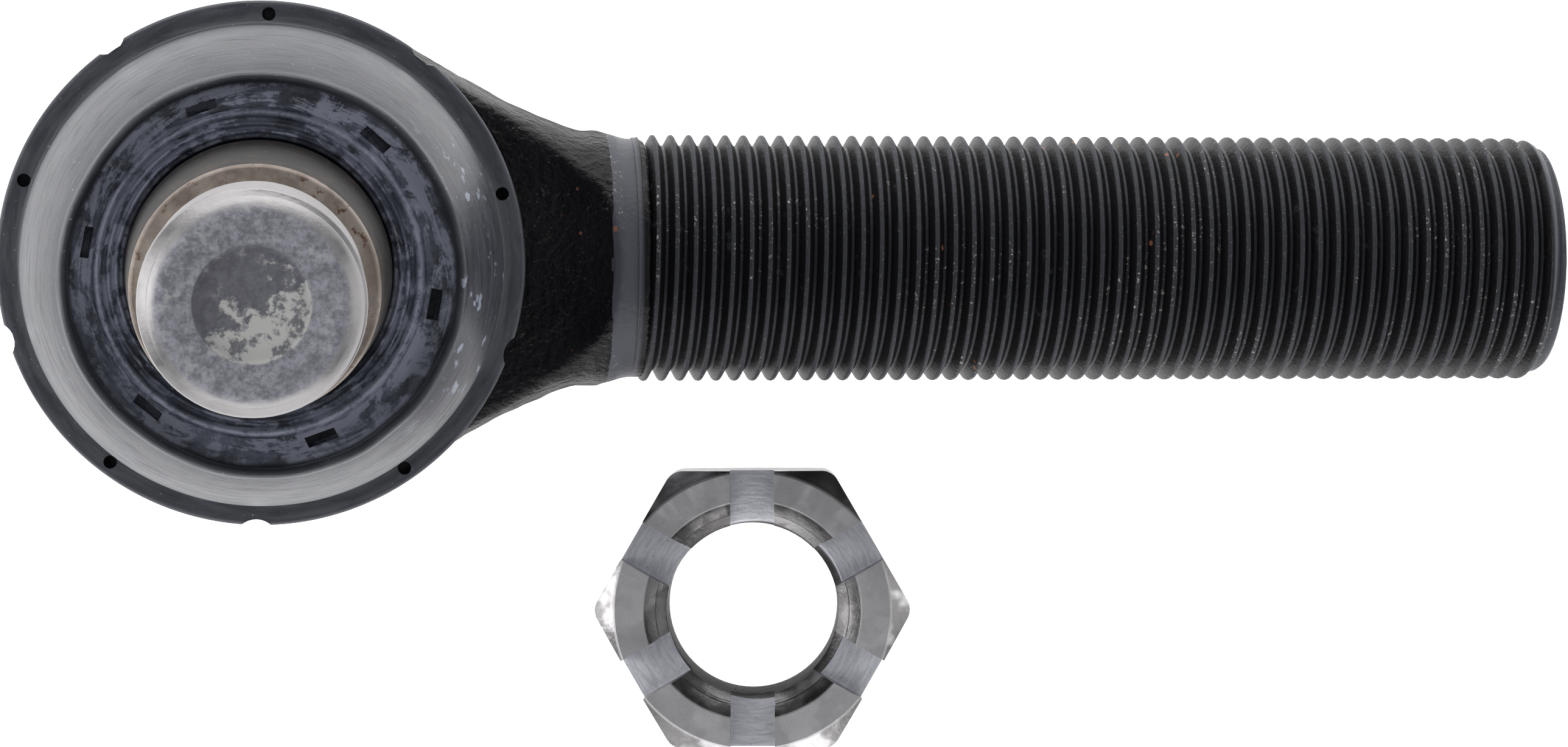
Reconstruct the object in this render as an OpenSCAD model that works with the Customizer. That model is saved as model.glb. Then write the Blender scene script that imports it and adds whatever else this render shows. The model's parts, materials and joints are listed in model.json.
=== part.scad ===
// Heavy-duty tie rod end: a ball stud in a forged socket with a left-hand
// threaded shank, its dust boot, its grease fitting and its slotted stud nut.
// The origin is the ball's centre, +X runs along the shank to its threaded
// end, and +Z runs along the socket's axis to the side the stud comes out.

/* [Shank] */
// From the ball's centre to the shank's end
shank_reach = 150; // [125:0.1:190]
// Major diameter of the shank's thread
shank_d = 28.45; // [25:0.005:30]
// Pitch of the shank's thread, twelve to the inch
shank_pitch = 2.1167; // [1.8:0.0001:2.6]
// Plain length between the ball's centre and the thread
plain_len = 43.2; // [42:0.1:60]

/* [Socket] */
// Thickness of the bearings between ball and bore
race_t = 3.3; // [2.6:0.05:4.2]
// Thickness of the forged wall round the bearings
wall_t = 6.4; // [6:0.1:9]
// Diameter of the boss that the boot sits round, on a socket for a 38.1 ball
boss_d = 48.6; // [47:0.1:50]
// Running clearance of the ball in its bearings
ball_fit = 0.05; // [0.02:0.01:0.1]

/* [Ball stud] */
// Diameter of the ball
ball_d = 38.1; // [36:0.05:40]
// From the ball's centre to the stud's tip
stud_reach = 86; // [78:0.5:96]
// Diameter at the large end of the stud's taper
taper_d = 28.6; // [27:0.1:29.4]
// Taper, as length over change of diameter
taper_ratio = 8; // [6:0.5:12]
// Major diameter of the stud's thread
stud_thread_d = 22.225; // [20:0.005:23]
// Pitch of the stud's thread, fourteen to the inch
stud_pitch = 1.8143; // [1.5:0.0001:2.2]
// Diameter of the cross hole for a split pin
cross_hole_d = 4.4; // [3:0.1:5]
// How far the stud leans from the socket's axis at rest
rest_lean = 1; // [0:0.1:8]
// Direction in which it leans, from +X towards +Y
lean_azimuth = 157; // [-180:1:180]

/* [Dust boot] */
// Diameter of the flange on the socket, for a 38.1 ball
flange_d = 58.8; // [57:0.1:61]
// Diameter of the rim round the boot's top face, for a 38.1 ball
rim_d = 42.8; // [41:0.1:46]
// Height of the rim above the ball's centre, for a 38.1 ball
rim_z = 33; // [31.5:0.1:35]
// Thickness of the rubber wall
boot_t = 2.2; // [1.6:0.1:2.8]

/* [Lying down] */
// How far the rod end is rolled about its shank where it lies
rest_roll = 4.9; // [0:0.1:10]

/* [Stud nut] */
// Distance across the flats
nut_af = 32.7; // [31:0.05:36]
// Height of the nut
nut_h = 19.5; // [17:0.1:24]
// Width of the slots
slot_w = 5.2; // [4:0.1:6]
// Depth of the slots
slot_depth = 5.6; // [4:0.1:8]
// Where the loose nut lies along the shank, from the ball
nut_x = 55.9; // [50:0.1:110]
// How far beside the shank it lies
nut_y = -41.2; // [-60:0.1:-38]

/* [Hidden] */
$fn = 96;
eps = 0.01;

// Fits and gaps
slide_fit = 0.06;
touch_gap = 0.05;
boot_gap = 0.12;
insert_gap = 0.03;

// Threads: depth and crest as shares of the pitch
depth_share = 0.59;
crest_share = 0.24;
flank_share = depth_share * tan(30);

// What everything round and above a larger ball gains over the same on a 38.1 one
ball_r = ball_d / 2;
ball_gain = ball_r - 19.05;

// Socket
shank_r = shank_d / 2;
bore_r = ball_r + race_t;
socket_r = bore_r + wall_t;
boss_r = boss_d / 2 + ball_gain;
shoulder_z = 7 + ball_gain;
boss_z = 12.4 + ball_gain;
race_top_z = 9.2 + ball_gain;
race_cone_z = 5.8 + ball_gain;
mouth_r = race_r(race_top_z) + 0.9;
mouth_top_r = mouth_r + 1;
cup_bottom_z = -ball_r + 0.85;
spring_t = 1;
spring_rise = 0.74;
cover_top_z = cup_bottom_z - touch_gap - spring_rise - spring_t;
cover_t = 3.1;
cover_r = bore_r + 0.9;
cover_bottom_z = cover_top_z - cover_t;
lip_r = bore_r - 0.8;
lip_t = 1.4;
base_z = cover_bottom_z - lip_t;

// Neck between socket and shank
neck_end_x = plain_len - 7.2;
neck_start_x = neck_end_x - 22;
neck_gain = 0.246;
neck_power = 1.237;
dish_start_r = socket_r + 0.5;
dish_arc_r = 11.8;
end_chamfer = 2.5;

// Grease fitting
fitting_r = 3.17;
fitting_hex_af = 8.7;
fitting_hex_h = 3.4;
fitting_neck_r = 2.35;
fitting_head_r = 3.2;
fitting_face_r = 1.9;
fitting_len = 9;
fitting_tip_z = cover_bottom_z - fitting_len;
grease_way_r = 0.9;
chamber_r = 1.6;
check_ball_r = 1.3;
check_ball_z = fitting_tip_z + 0.75 + check_ball_r;
check_travel = 0.8;
spring_top_z = cover_bottom_z - 0.6;
spring_wire_r = 0.16;
spring_coil_r = 1.15;

// Stud, along its own axis
ball_flat_s = ball_r - 3.4;
neck_r = 11.6;
neck_top_s = 19 + ball_gain;
seat_s = 24 + ball_gain;
taper_s = 32.5 + ball_gain;
taper_len = 29.5;
taper_r = taper_d / 2;
taper_small_r = taper_r - taper_len / taper_ratio / 2;
relief_s = taper_s + taper_len;
relief_len = 1.8;
stud_thread_r = stud_thread_d / 2;
tip_chamfer = 1.8;
tip_recess_r = 6;
tip_recess_depth = 0.8;
cross_hole_s = stud_reach - 7.5;

// Nut
crown_bore_r = stud_thread_r + 1.7;

// Boot
flange_r = flange_d / 2 + ball_gain;
flange_bottom_z = shoulder_z + 0.3;
flange_top_z = 12.2 + ball_gain;
wall_foot_r = flange_r - 2.8;
rim_r = rim_d / 2 + ball_gain;
rim_top_z = rim_z + ball_gain;
rim_t = 1.3;
face_s = rim_top_z - 2.4;
neck_bottom_s = 25 + ball_gain;
base_ring_z = 8.6 + ball_gain;
base_ring_t = 1.4;
base_ring_in_r = boss_r + 1.3;
base_ring_out_r = flange_r - 0.5;
neck_ring_s = 26.4 + ball_gain;
neck_ring_t = 1.5;
neck_ring_in_r = taper_r + 1.9;
neck_ring_out_r = rim_r - 1.9;
vent_count = 5;
hole_angle = 16.5;
slot_count = 6;
slot_angle = -10.2;

// Where everything lies down: on the fitting and the shank's end
tip_drop = -fitting_tip_z * cos(rest_roll);
rest_tilt = atan((tip_drop - shank_r) / (shank_reach - end_chamfer - fitting_face_r));
rest_height = tip_drop * cos(rest_tilt) + fitting_face_r * sin(rest_tilt);

// Radius of the bearings' sphere at height z
function race_r(z) = sqrt(pow(ball_r + ball_fit, 2) - z * z);

// Radius of the forged neck at a place along the shank
function neck_radius(x) = shank_r + 0.3 + neck_gain * pow(max(neck_end_x - x, 0), neck_power);

// Points of a round profile from angle a to angle b
function arc(cx, cy, r, a, b, steps) =
    [for (i = [0:steps]) let(t = a + (b - a) * i / steps) [cx + r * cos(t), cy + r * sin(t)]];

// Side profile of a run of ring-shaped thread ridges, from s0 to s1
function ridges(r, pitch, s0, s1) =
    let(turns = floor((s1 - s0 - crest_share * pitch) / pitch))
    concat(
        [for (i = [0:turns - 1]) for (p = [
            [0, 0],
            [0, crest_share],
            [depth_share, crest_share + flank_share],
            [depth_share, 1 - flank_share]
        ]) [r - p[0] * pitch, s0 + (i + p[1]) * pitch]],
        [[r, s0 + turns * pitch], [r, s0 + (turns + crest_share) * pitch]]
    );

// Turns a solid from the socket's axis to the stud's leaning axis
module lean() {
    rotate([0, 0, lean_azimuth]) rotate([0, rest_lean, 0]) rotate([0, 0, -lean_azimuth]) children();
}

// Turns a revolved profile, drawn as radius and place, to lie along the shank
module along_shank() {
    rotate([0, 90, 0]) rotate_extrude() children();
}

// Places a solid on the surface that the rod end lies on
module on_surface() {
    rotate([-rest_roll, 0, 0]) rotate([0, -rest_tilt, 0]) translate([0, 0, -rest_height]) children();
}

// Repeats a solid evenly round the axis
module around(count, start = 0) {
    for (i = [0:count - 1]) rotate([0, 0, start + i * 360 / count]) children();
}

module socket_body() {
    rotate_extrude() polygon(concat(
        [[0, base_z], [bore_r + 2.6, base_z]],
        arc(socket_r - 6, base_z + 6, 6, -65, 0, 6),
        arc(socket_r - 4, shoulder_z - 4, 4, 0, 75, 6),
        [[boss_r, shoulder_z], [boss_r, boss_z - 0.8], [boss_r - 0.8, boss_z], [0, boss_z]]
    ));
}

module neck() {
    difference() {
        along_shank() polygon(concat(
            [[0, neck_start_x]],
            [for (i = [0:14]) let(x = neck_start_x + (neck_end_x - neck_start_x) * i / 14)
                [neck_radius(x), x]],
            [
                [shank_r + 0.3, neck_end_x + 2.6],
                [shank_r - 0.4, neck_end_x + 4],
                [shank_r - 0.4, plain_len + eps],
                [0, plain_len + eps]
            ]
        ));
        rotate_extrude() polygon(concat(
            [[0, boss_z], [boss_r - 1, boss_z], [boss_r - 1, shoulder_z]],
            arc(dish_start_r, shoulder_z + dish_arc_r, dish_arc_r, -90, -12, 12),
            [[dish_start_r + 16, 40], [0, 40]]
        ));
        translate([0, 0, base_z + 3 - 20]) cube([200, 200, 40], center = true);
    }
}

module shank_thread() {
    end = shank_reach - end_chamfer;
    along_shank() polygon(concat(
        [[0, plain_len]],
        ridges(shank_r, shank_pitch, plain_len, end),
        [[shank_r - end_chamfer * 0.55, shank_reach], [0, shank_reach]]
    ));
}

module socket_housing() {
    color("#26272a") difference() {
        union() {
            socket_body();
            neck();
            shank_thread();
        }
        rotate_extrude() polygon([
            [0, base_z - 1],
            [lip_r, base_z - 1],
            [lip_r, cover_bottom_z],
            [cover_r, cover_bottom_z],
            [cover_r, cover_top_z],
            [bore_r, cover_top_z],
            [bore_r, race_cone_z],
            [mouth_r, race_top_z + 0.6],
            [mouth_top_r, boss_z + eps],
            [mouth_top_r, boss_z + 1],
            [0, boss_z + 1]
        ]);
    }
}

module upper_bearing() {
    color("#c9c6b8") difference() {
        rotate_extrude() polygon([
            [ball_r - 4, 0.3],
            [bore_r, 0.3],
            [bore_r, race_cone_z],
            [mouth_r + 0.2, race_top_z],
            [ball_r - 6, race_top_z]
        ]);
        sphere(r = ball_r + ball_fit);
    }
}

module lower_bearing() {
    color("#c9c6b8") difference() {
        rotate_extrude() polygon([
            [7, cup_bottom_z],
            [bore_r - slide_fit - 1, cup_bottom_z],
            [bore_r - slide_fit, cup_bottom_z + 1],
            [bore_r - slide_fit, -0.6],
            [7, -0.6]
        ]);
        sphere(r = ball_r + ball_fit);
    }
}

module preload_spring() {
    inner_r = 9.5;
    outer_r = bore_r - 0.9;
    top_z = cup_bottom_z - touch_gap;
    color("#4b5058") rotate_extrude() polygon([
        [inner_r, top_z],
        [outer_r, top_z - spring_rise],
        [outer_r, cover_top_z],
        [inner_r, top_z - spring_t]
    ]);
}

module end_cover() {
    color("#33353a") difference() {
        rotate_extrude() polygon([
            [0, cover_top_z],
            [cover_r, cover_top_z],
            [cover_r, cover_bottom_z],
            [lip_r - 2, cover_bottom_z],
            [lip_r - 4, cover_bottom_z + 0.8],
            [9, cover_bottom_z + 0.8],
            [7, cover_bottom_z],
            [0, cover_bottom_z]
        ]);
        translate([0, 0, cover_bottom_z - 1]) cylinder(r = fitting_r, h = cover_t + 2);
    }
}

module grease_fitting() {
    hex_bottom_z = cover_bottom_z - fitting_hex_h;
    thread_top_z = cover_top_z - 0.2;
    color("#a9a99f") difference() {
        union() {
            translate([0, 0, cover_bottom_z - eps])
                cylinder(r = fitting_r, h = thread_top_z - cover_bottom_z + eps);
            translate([0, 0, hex_bottom_z])
                cylinder(r = fitting_hex_af / 2 / cos(30), h = fitting_hex_h, $fn = 6);
            rotate_extrude() polygon([
                [0, fitting_tip_z],
                [fitting_face_r, fitting_tip_z],
                [fitting_head_r, fitting_tip_z + 1.9],
                [fitting_head_r, fitting_tip_z + 2.5],
                [fitting_neck_r, fitting_tip_z + 3.6],
                [fitting_neck_r, hex_bottom_z + eps],
                [0, hex_bottom_z + eps]
            ]);
        }
        translate([0, 0, fitting_tip_z - 1]) cylinder(r = grease_way_r, h = 20);
        translate([0, 0, fitting_tip_z + 0.75])
            cylinder(r = chamber_r, h = spring_top_z - fitting_tip_z - 0.75);
    }
}

module grease_check_ball() {
    color("#d0d2d4") translate([0, 0, check_ball_z + touch_gap]) sphere(r = check_ball_r, $fn = 32);
}

// A round wire wound into a helix about the axis, closed at both ends
module helix(coil_r, wire_r, height, turns, steps, sides) {
    count = turns * steps;
    ring = [for (j = [0:sides - 1]) [wire_r * cos(360 * j / sides), wire_r * sin(360 * j / sides)]];
    points = [for (i = [0:count]) for (p = ring) [
        (coil_r + p[0]) * cos(360 * i / steps),
        (coil_r + p[0]) * sin(360 * i / steps),
        height * i / count + p[1]
    ]];
    walls = [for (i = [0:count - 1]) for (j = [0:sides - 1]) let(k = (j + 1) % sides) [
        i * sides + j,
        (i + 1) * sides + j,
        (i + 1) * sides + k,
        i * sides + k
    ]];
    first = [for (j = [0:sides - 1]) j];
    last = [for (j = [sides - 1:-1:0]) count * sides + j];
    polyhedron(points, concat(walls, [first, last]), convexity = 10);
}

module grease_check_spring() {
    bottom_z = check_ball_z + check_ball_r + touch_gap * 2 + spring_wire_r;
    color("#8d9096") translate([0, 0, bottom_z])
        helix(spring_coil_r, spring_wire_r, spring_top_z - spring_wire_r - bottom_z, 4, 16, 6);
}

module ball_stud() {
    thread_end = stud_reach - tip_chamfer;
    neck_s = sqrt(ball_r * ball_r - neck_r * neck_r);
    color("#7d7f80") lean() difference() {
        union() {
            difference() {
                sphere(r = ball_r);
                translate([-ball_r, -ball_r, -2 * ball_r - ball_flat_s]) cube(2 * ball_r);
            }
            rotate_extrude() polygon(concat(
                [
                    [0, 0],
                    [neck_r, 0],
                    [neck_r, neck_top_s],
                    [taper_r, seat_s],
                    [taper_r, taper_s],
                    [taper_small_r, relief_s],
                    [stud_thread_r - depth_share * stud_pitch, relief_s + 0.6],
                    [stud_thread_r - depth_share * stud_pitch, relief_s + relief_len]
                ],
                ridges(stud_thread_r, stud_pitch, relief_s + relief_len + 0.6, thread_end),
                [
                    [stud_thread_r - tip_chamfer, stud_reach],
                    [tip_recess_r, stud_reach],
                    [tip_recess_r - 0.6, stud_reach - tip_recess_depth],
                    [0, stud_reach - tip_recess_depth]
                ]
            ));
        }
        translate([0, 0, cross_hole_s]) rotate([0, 90, 0])
            cylinder(d = cross_hole_d, h = stud_thread_d + 2, center = true);
    }
}

module ring_section(in_r, out_r, z, t, gap = 0) {
    rotate_extrude() translate([in_r - gap, z - gap]) square([out_r - in_r + 2 * gap, t + 2 * gap]);
}

module boot_base_ring() {
    color("#5a5d62") ring_section(base_ring_in_r, base_ring_out_r, base_ring_z, base_ring_t);
}

module boot_neck_ring() {
    color("#5a5d62") lean()
        ring_section(neck_ring_in_r, neck_ring_out_r, neck_ring_s, neck_ring_t);
}

// A cone between a level disc on the socket and a leaning disc on the stud
module sleeve(foot_r, foot_z, top_r, top_s) {
    hull() {
        translate([0, 0, foot_z]) cylinder(r = foot_r, h = 0.4, $fn = 48);
        lean() translate([0, 0, top_s - 0.4]) cylinder(r = top_r, h = 0.4, $fn = 48);
    }
}

module boot_outside() {
    sleeve(wall_foot_r, flange_top_z - 1.1, rim_r - 0.3, face_s - 0.9);
    translate([0, 0, flange_bottom_z]) cylinder(r = flange_r, h = flange_top_z - flange_bottom_z);
    lean() rotate_extrude() polygon([
        [0, neck_bottom_s + 2],
        [rim_r - 0.9, neck_bottom_s + 2],
        [rim_r, neck_bottom_s + 4],
        [rim_r, rim_top_z - 0.4],
        [rim_r - 0.4, rim_top_z],
        [rim_r - rim_t, rim_top_z],
        [rim_r - rim_t - 0.5, face_s],
        [taper_r + 2.4, face_s],
        [taper_r + 1.9, face_s + 1.1],
        [taper_r + 0.9, face_s + 1.1],
        [taper_r + 0.2, face_s + 0.4],
        [0, face_s + 0.4]
    ]);
}

module boot_inside() {
    translate([0, 0, flange_bottom_z - 1])
        cylinder(r = boss_r + boot_gap, h = flange_top_z - flange_bottom_z + 0.4);
    sleeve(wall_foot_r - boot_t + 0.4, flange_top_z - 0.9, rim_r - boot_t - 0.4, neck_bottom_s + 0.6);
    lean() translate([0, 0, neck_bottom_s - 3]) cylinder(r = taper_r + boot_gap, h = 20);
}

module dust_boot() {
    color("#4a4d52") difference() {
        boot_outside();
        boot_inside();
        ring_section(base_ring_in_r, base_ring_out_r, base_ring_z, base_ring_t);
        lean() ring_section(neck_ring_in_r, neck_ring_out_r, neck_ring_s, neck_ring_t, insert_gap);
        around(vent_count, hole_angle) translate([flange_r - 1.5, 0, base_ring_z + base_ring_t - eps])
            cylinder(r = 0.75, h = 5);
        around(vent_count, hole_angle + 180 / vent_count) translate([flange_r + 0.9, 0, 0])
            cylinder(r = 1.6, h = 20);
        lean() around(slot_count, slot_angle)
            translate([neck_ring_out_r - 1.8, -1.7, neck_ring_s + neck_ring_t - eps])
            cube([1.2, 3.4, 10]);
    }
}

module nut_bore() {
    minor_r = stud_thread_r - 0.53 * stud_pitch;
    turns = floor((nut_h - 3.5) / stud_pitch);
    rotate_extrude() polygon(concat(
        [[0, -1], [minor_r + 2, -1], [minor_r, 1]],
        [for (i = [0:turns - 1]) for (p = [
            [0, 0.3],
            [0.55, 0.55],
            [0.55, 0.75],
            [0, 1]
        ]) [minor_r + p[0] * stud_pitch, 1 + (i + p[1]) * stud_pitch]],
        [
            [minor_r, nut_h - 2.5],
            [crown_bore_r - 1.5, nut_h - 2.5 + eps],
            [crown_bore_r, nut_h],
            [crown_bore_r, nut_h + 1],
            [0, nut_h + 1]
        ]
    ));
}

module castle_nut() {
    corner_r = nut_af / 2 / cos(30);
    flat_r = nut_af / 2;
    color("#b4b6b8") on_surface() translate([nut_x, nut_y, 0]) difference() {
        intersection() {
            cylinder(r = corner_r, h = nut_h, $fn = 6);
            rotate_extrude() polygon([
                [0, 0],
                [flat_r - 0.6, 0],
                [corner_r - 0.4, 2],
                [corner_r - 0.4, nut_h - 3.4],
                [flat_r - 1.2, nut_h],
                [0, nut_h]
            ]);
        }
        nut_bore();
        around(3, 30) translate([-corner_r, -slot_w / 2, nut_h - slot_depth])
            cube([2 * corner_r, slot_w, slot_depth + 1]);
    }
}

socket_housing();
upper_bearing();
lower_bearing();
preload_spring();
end_cover();
grease_fitting();
grease_check_ball();
grease_check_spring();
ball_stud();
boot_base_ring();
dust_boot();
boot_neck_ring();
castle_nut();
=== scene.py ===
import json
import math

import bmesh
import bpy
from mathutils import Matrix, Vector, noise


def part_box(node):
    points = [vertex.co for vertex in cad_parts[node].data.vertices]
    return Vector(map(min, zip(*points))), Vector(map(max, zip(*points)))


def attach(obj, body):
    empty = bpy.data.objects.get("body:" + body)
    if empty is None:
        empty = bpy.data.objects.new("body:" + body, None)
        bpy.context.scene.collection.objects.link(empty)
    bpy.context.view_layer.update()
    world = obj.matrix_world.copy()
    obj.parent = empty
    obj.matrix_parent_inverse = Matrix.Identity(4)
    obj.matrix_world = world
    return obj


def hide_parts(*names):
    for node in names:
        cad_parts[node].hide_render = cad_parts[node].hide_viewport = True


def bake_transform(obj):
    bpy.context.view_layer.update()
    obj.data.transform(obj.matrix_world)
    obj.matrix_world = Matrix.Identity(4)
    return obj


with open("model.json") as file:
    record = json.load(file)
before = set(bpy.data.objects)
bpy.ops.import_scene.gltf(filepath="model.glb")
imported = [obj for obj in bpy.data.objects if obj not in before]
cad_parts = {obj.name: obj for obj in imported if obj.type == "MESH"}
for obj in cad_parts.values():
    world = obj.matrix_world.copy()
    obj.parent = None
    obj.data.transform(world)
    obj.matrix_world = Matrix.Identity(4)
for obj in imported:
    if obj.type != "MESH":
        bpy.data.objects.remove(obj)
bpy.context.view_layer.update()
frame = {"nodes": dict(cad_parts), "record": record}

# Meshes are made in millimetres and turned to metres when a piece is finished.
MM = 0.001


def mount(name):
    """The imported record's mount of that name."""
    return next(m for m in frame["record"]["mounts"] if m["name"] == name)


# Sizes from the frame
shank_mount = mount("shank_thread")
SHANK_R = shank_mount["dims"]["r_mm"]
THREAD_START = shank_mount["pos_m"][0] / MM - shank_mount["dims"]["length_mm"] / 2
SHANK_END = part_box("socket_housing")[1].x / MM
SOCKET_R = -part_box("socket_housing")[0].x / MM
BASE_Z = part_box("socket_housing")[0].z / MM
COVER_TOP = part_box("end_cover")[1].z / MM
COVER_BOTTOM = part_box("end_cover")[0].z / MM
COVER_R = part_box("end_cover")[1].x / MM
BORE_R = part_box("upper_bearing")[1].x / MM
BEARING_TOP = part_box("upper_bearing")[1].z / MM
STUD_THREAD_R = mount("stud_thread")["dims"]["r_mm"]
NUT_MINOR_R = mount("nut_thread")["dims"]["r_mm"]
BASE_RING_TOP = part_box("boot_base_ring")[1].z / MM

# The surface that everything lies on: its upward direction and its two level ones
UP = -Vector(mount("nut_seat")["axis"])
LEVEL_X = Vector((1, 0, 0)) - UP * UP.x
LEVEL_X.normalize()
LEVEL_Y = UP.cross(LEVEL_X)
SURFACE = UP.dot(Vector(mount("nut_seat")["pos_m"]))
STUD_AXIS = Vector(mount("stud_thread")["axis"])

# Sizes of the shapes, in millimetres
SHANK_PITCH = 25.4 / 12
SHANK_DEPTH = 1.24
END_CHAMFER = 2.5
NECK_END = THREAD_START - 7.2
NECK_START = NECK_END - 22
NECK_GAIN = 0.246
NECK_POWER = 1.237
DISH_ARC_R = 11.8
SHOULDER_Z = 7
BOSS_R = 24.3
BOSS_Z = 12.4
MOUTH_R = 17.58
BALL_R = 19.05
BALL_FLAT = BALL_R - 3.4
STUD_NECK_R = 11.6
CROSS_HOLE_R = 2.2
CROSS_HOLE_S = 78.5
STUD_REACH = 86
TAPER_R = 14.3
TAPER_START = 32.5
TAPER_END = 62
TAPER_SMALL_R = TAPER_R - (TAPER_END - TAPER_START) / 16
STUD_PITCH = 25.4 / 14
FLANGE_R = 29.4
FLANGE_TOP = 12.2
NECK_SOLID = 25.2
RIM_R = 21.4
RIM_TOP = 33
FACE_S = 30.4
LOCATOR_HOLE_R = 0.75
LOCATOR_HOLE_ANGLE = 16.5
NOTCH_R = 2.4
NOTCH_ANGLE = LOCATOR_HOLE_ANGLE + 36
FACE_SLOT = (1.1, 3.4, 6)
FACE_SLOT_ANGLE = -10.2
NUT_AF = 32.7
NUT_H = 19.5
SLOT_W = 5.2
SLOT_DEPTH = 5.6


# ---------------------------------------------------------------- mesh tools

def arc(centre, radius, start, end, steps):
    """Points of an arc in an outline, with its angles in degrees."""
    points = []
    for i in range(steps + 1):
        angle = math.radians(start + (end - start) * i / steps)
        points.append((centre[0] + radius * math.cos(angle), centre[1] + radius * math.sin(angle)))
    return points


def curve(knots, steps):
    """A smooth run of points through a few knots, by Catmull-Rom."""
    padded = [knots[0], *knots, knots[-1]]
    points = []
    for before, start, end, after in zip(padded, padded[1:], padded[2:], padded[3:]):
        for i in range(steps):
            t = i / steps
            points.append(tuple(
                0.5 * (2 * b + (c - a) * t + (2 * a - 5 * b + 4 * c - d) * t * t
                       + (3 * b - a - 3 * c + d) * t ** 3)
                for a, b, c, d in zip(before, start, end, after)))
    return points + [knots[-1]]


def smooth_step(value, low, high):
    """0 below low, 1 above high, and an even S between."""
    t = min(max((value - low) / (high - low), 0), 1)
    return t * t * (3 - 2 * t)


def turned(outline, steps=128, ring=False):
    """Spins an outline of radius and height about Z into a closed shell."""
    shell = bmesh.new()
    points = [shell.verts.new((r, 0, z)) for r, z in outline]
    pairs = list(zip(points, points[1:]))
    if ring:
        pairs.append((points[-1], points[0]))
    edges = [shell.edges.new(pair) for pair in pairs]
    bmesh.ops.spin(shell, geom=points + edges, cent=(0, 0, 0), axis=(0, 0, 1),
                   angle=math.tau, steps=steps, use_merge=True)
    bmesh.ops.remove_doubles(shell, verts=shell.verts, dist=0.0005)
    bmesh.ops.recalc_face_normals(shell, faces=shell.faces)
    return shell


def trim(shell, height, side):
    """Cuts a shell level at a height, and takes away what is above (1) or below (-1)."""
    bmesh.ops.bisect_plane(shell, geom=shell.verts[:] + shell.edges[:] + shell.faces[:], dist=1e-5,
                           plane_co=(0, 0, height), plane_no=(0, 0, side), clear_outer=True)
    return [e for e in shell.edges if e.is_boundary and all(abs(v.co.z - height) < 1e-3 for v in e.verts)]


def lead_in(shell, rim, radii_and_heights):
    """Draws an open rim on through rings of given radius and height, and closes it."""
    for radius, height in radii_and_heights:
        made = bmesh.ops.extrude_edge_only(shell, edges=rim)["geom"]
        rim = [e for e in made if isinstance(e, bmesh.types.BMEdge)]
        for v in {v for e in rim for v in e.verts}:
            flat = Vector((v.co.x, v.co.y, 0)).normalized() * radius
            v.co = (flat.x, flat.y, height)
    bmesh.ops.holes_fill(shell, edges=rim, sides=0)


def thread(r_major, depth, pitch, start, end, hand, limit, start_rings, end_rings, steps=60):
    """A closed helical thread up Z. limit gives the largest radius at a height."""
    shell = bmesh.new()
    first = start - pitch
    turns = math.ceil((end - first) / pitch) + 1
    rise = [(0, 0), (0.055, 0.012), (0.11, 0.09), (0.35, 0.84), (0.4, 0.96), (0.46, 1)]
    shape = rise + [(1 - u, d) for u, d in reversed(rise)]
    points = [shell.verts.new((r_major - depth * (1 - d), 0, first + u * pitch)) for u, d in shape]
    edges = [shell.edges.new(pair) for pair in zip(points, points[1:])]
    bmesh.ops.spin(shell, geom=points + edges, cent=(0, 0, 0), axis=(0, 0, hand),
                   dvec=(0, 0, pitch / steps), angle=math.tau, steps=steps)
    one_turn = shell.verts[:] + shell.edges[:] + shell.faces[:]
    for i in range(1, turns):
        copied = bmesh.ops.duplicate(shell, geom=one_turn)["geom"]
        corners = [g for g in copied if isinstance(g, bmesh.types.BMVert)]
        bmesh.ops.translate(shell, vec=(0, 0, i * pitch), verts=corners)
    bmesh.ops.remove_doubles(shell, verts=shell.verts, dist=0.02)
    for v in shell.verts:
        radius = math.hypot(v.co.x, v.co.y)
        kept = min(radius, limit(v.co.z, radius))
        v.co.x *= kept / radius
        v.co.y *= kept / radius
    top = trim(shell, end, 1)
    lead_in(shell, top, end_rings)
    bottom = trim(shell, start, -1)
    lead_in(shell, bottom, start_rings)
    bmesh.ops.triangulate(shell, faces=[f for f in shell.faces if len(f.verts) > 4])
    bmesh.ops.recalc_face_normals(shell, faces=shell.faces)
    return shell


def working(shell):
    """A mesh as an object that the next steps can use."""
    data = bpy.data.meshes.new("working")
    shell.to_mesh(data)
    shell.free()
    obj = bpy.data.objects.new("working", data)
    bpy.context.scene.collection.objects.link(obj)
    return obj


def settle(obj):
    """Turns an object's modifiers into its mesh."""
    bpy.context.view_layer.update()
    graph = bpy.context.evaluated_depsgraph_get()
    data = bpy.data.meshes.new_from_object(obj.evaluated_get(graph))
    old = obj.data
    obj.modifiers.clear()
    obj.data = data
    bpy.data.meshes.remove(old)
    return obj


def combine(obj, other, operation):
    """Joins, cuts or intersects one closed object with another, which is used up."""
    step = obj.modifiers.new("step", "BOOLEAN")
    step.operation = operation
    step.object = other
    step.solver = "MANIFOLD"
    settle(obj)
    bpy.data.objects.remove(other)
    return obj


def as_shell(obj):
    """An object's mesh as a bmesh, with the object used up."""
    shell = bmesh.new()
    shell.from_mesh(obj.data)
    bpy.data.objects.remove(obj)
    return shell


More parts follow.
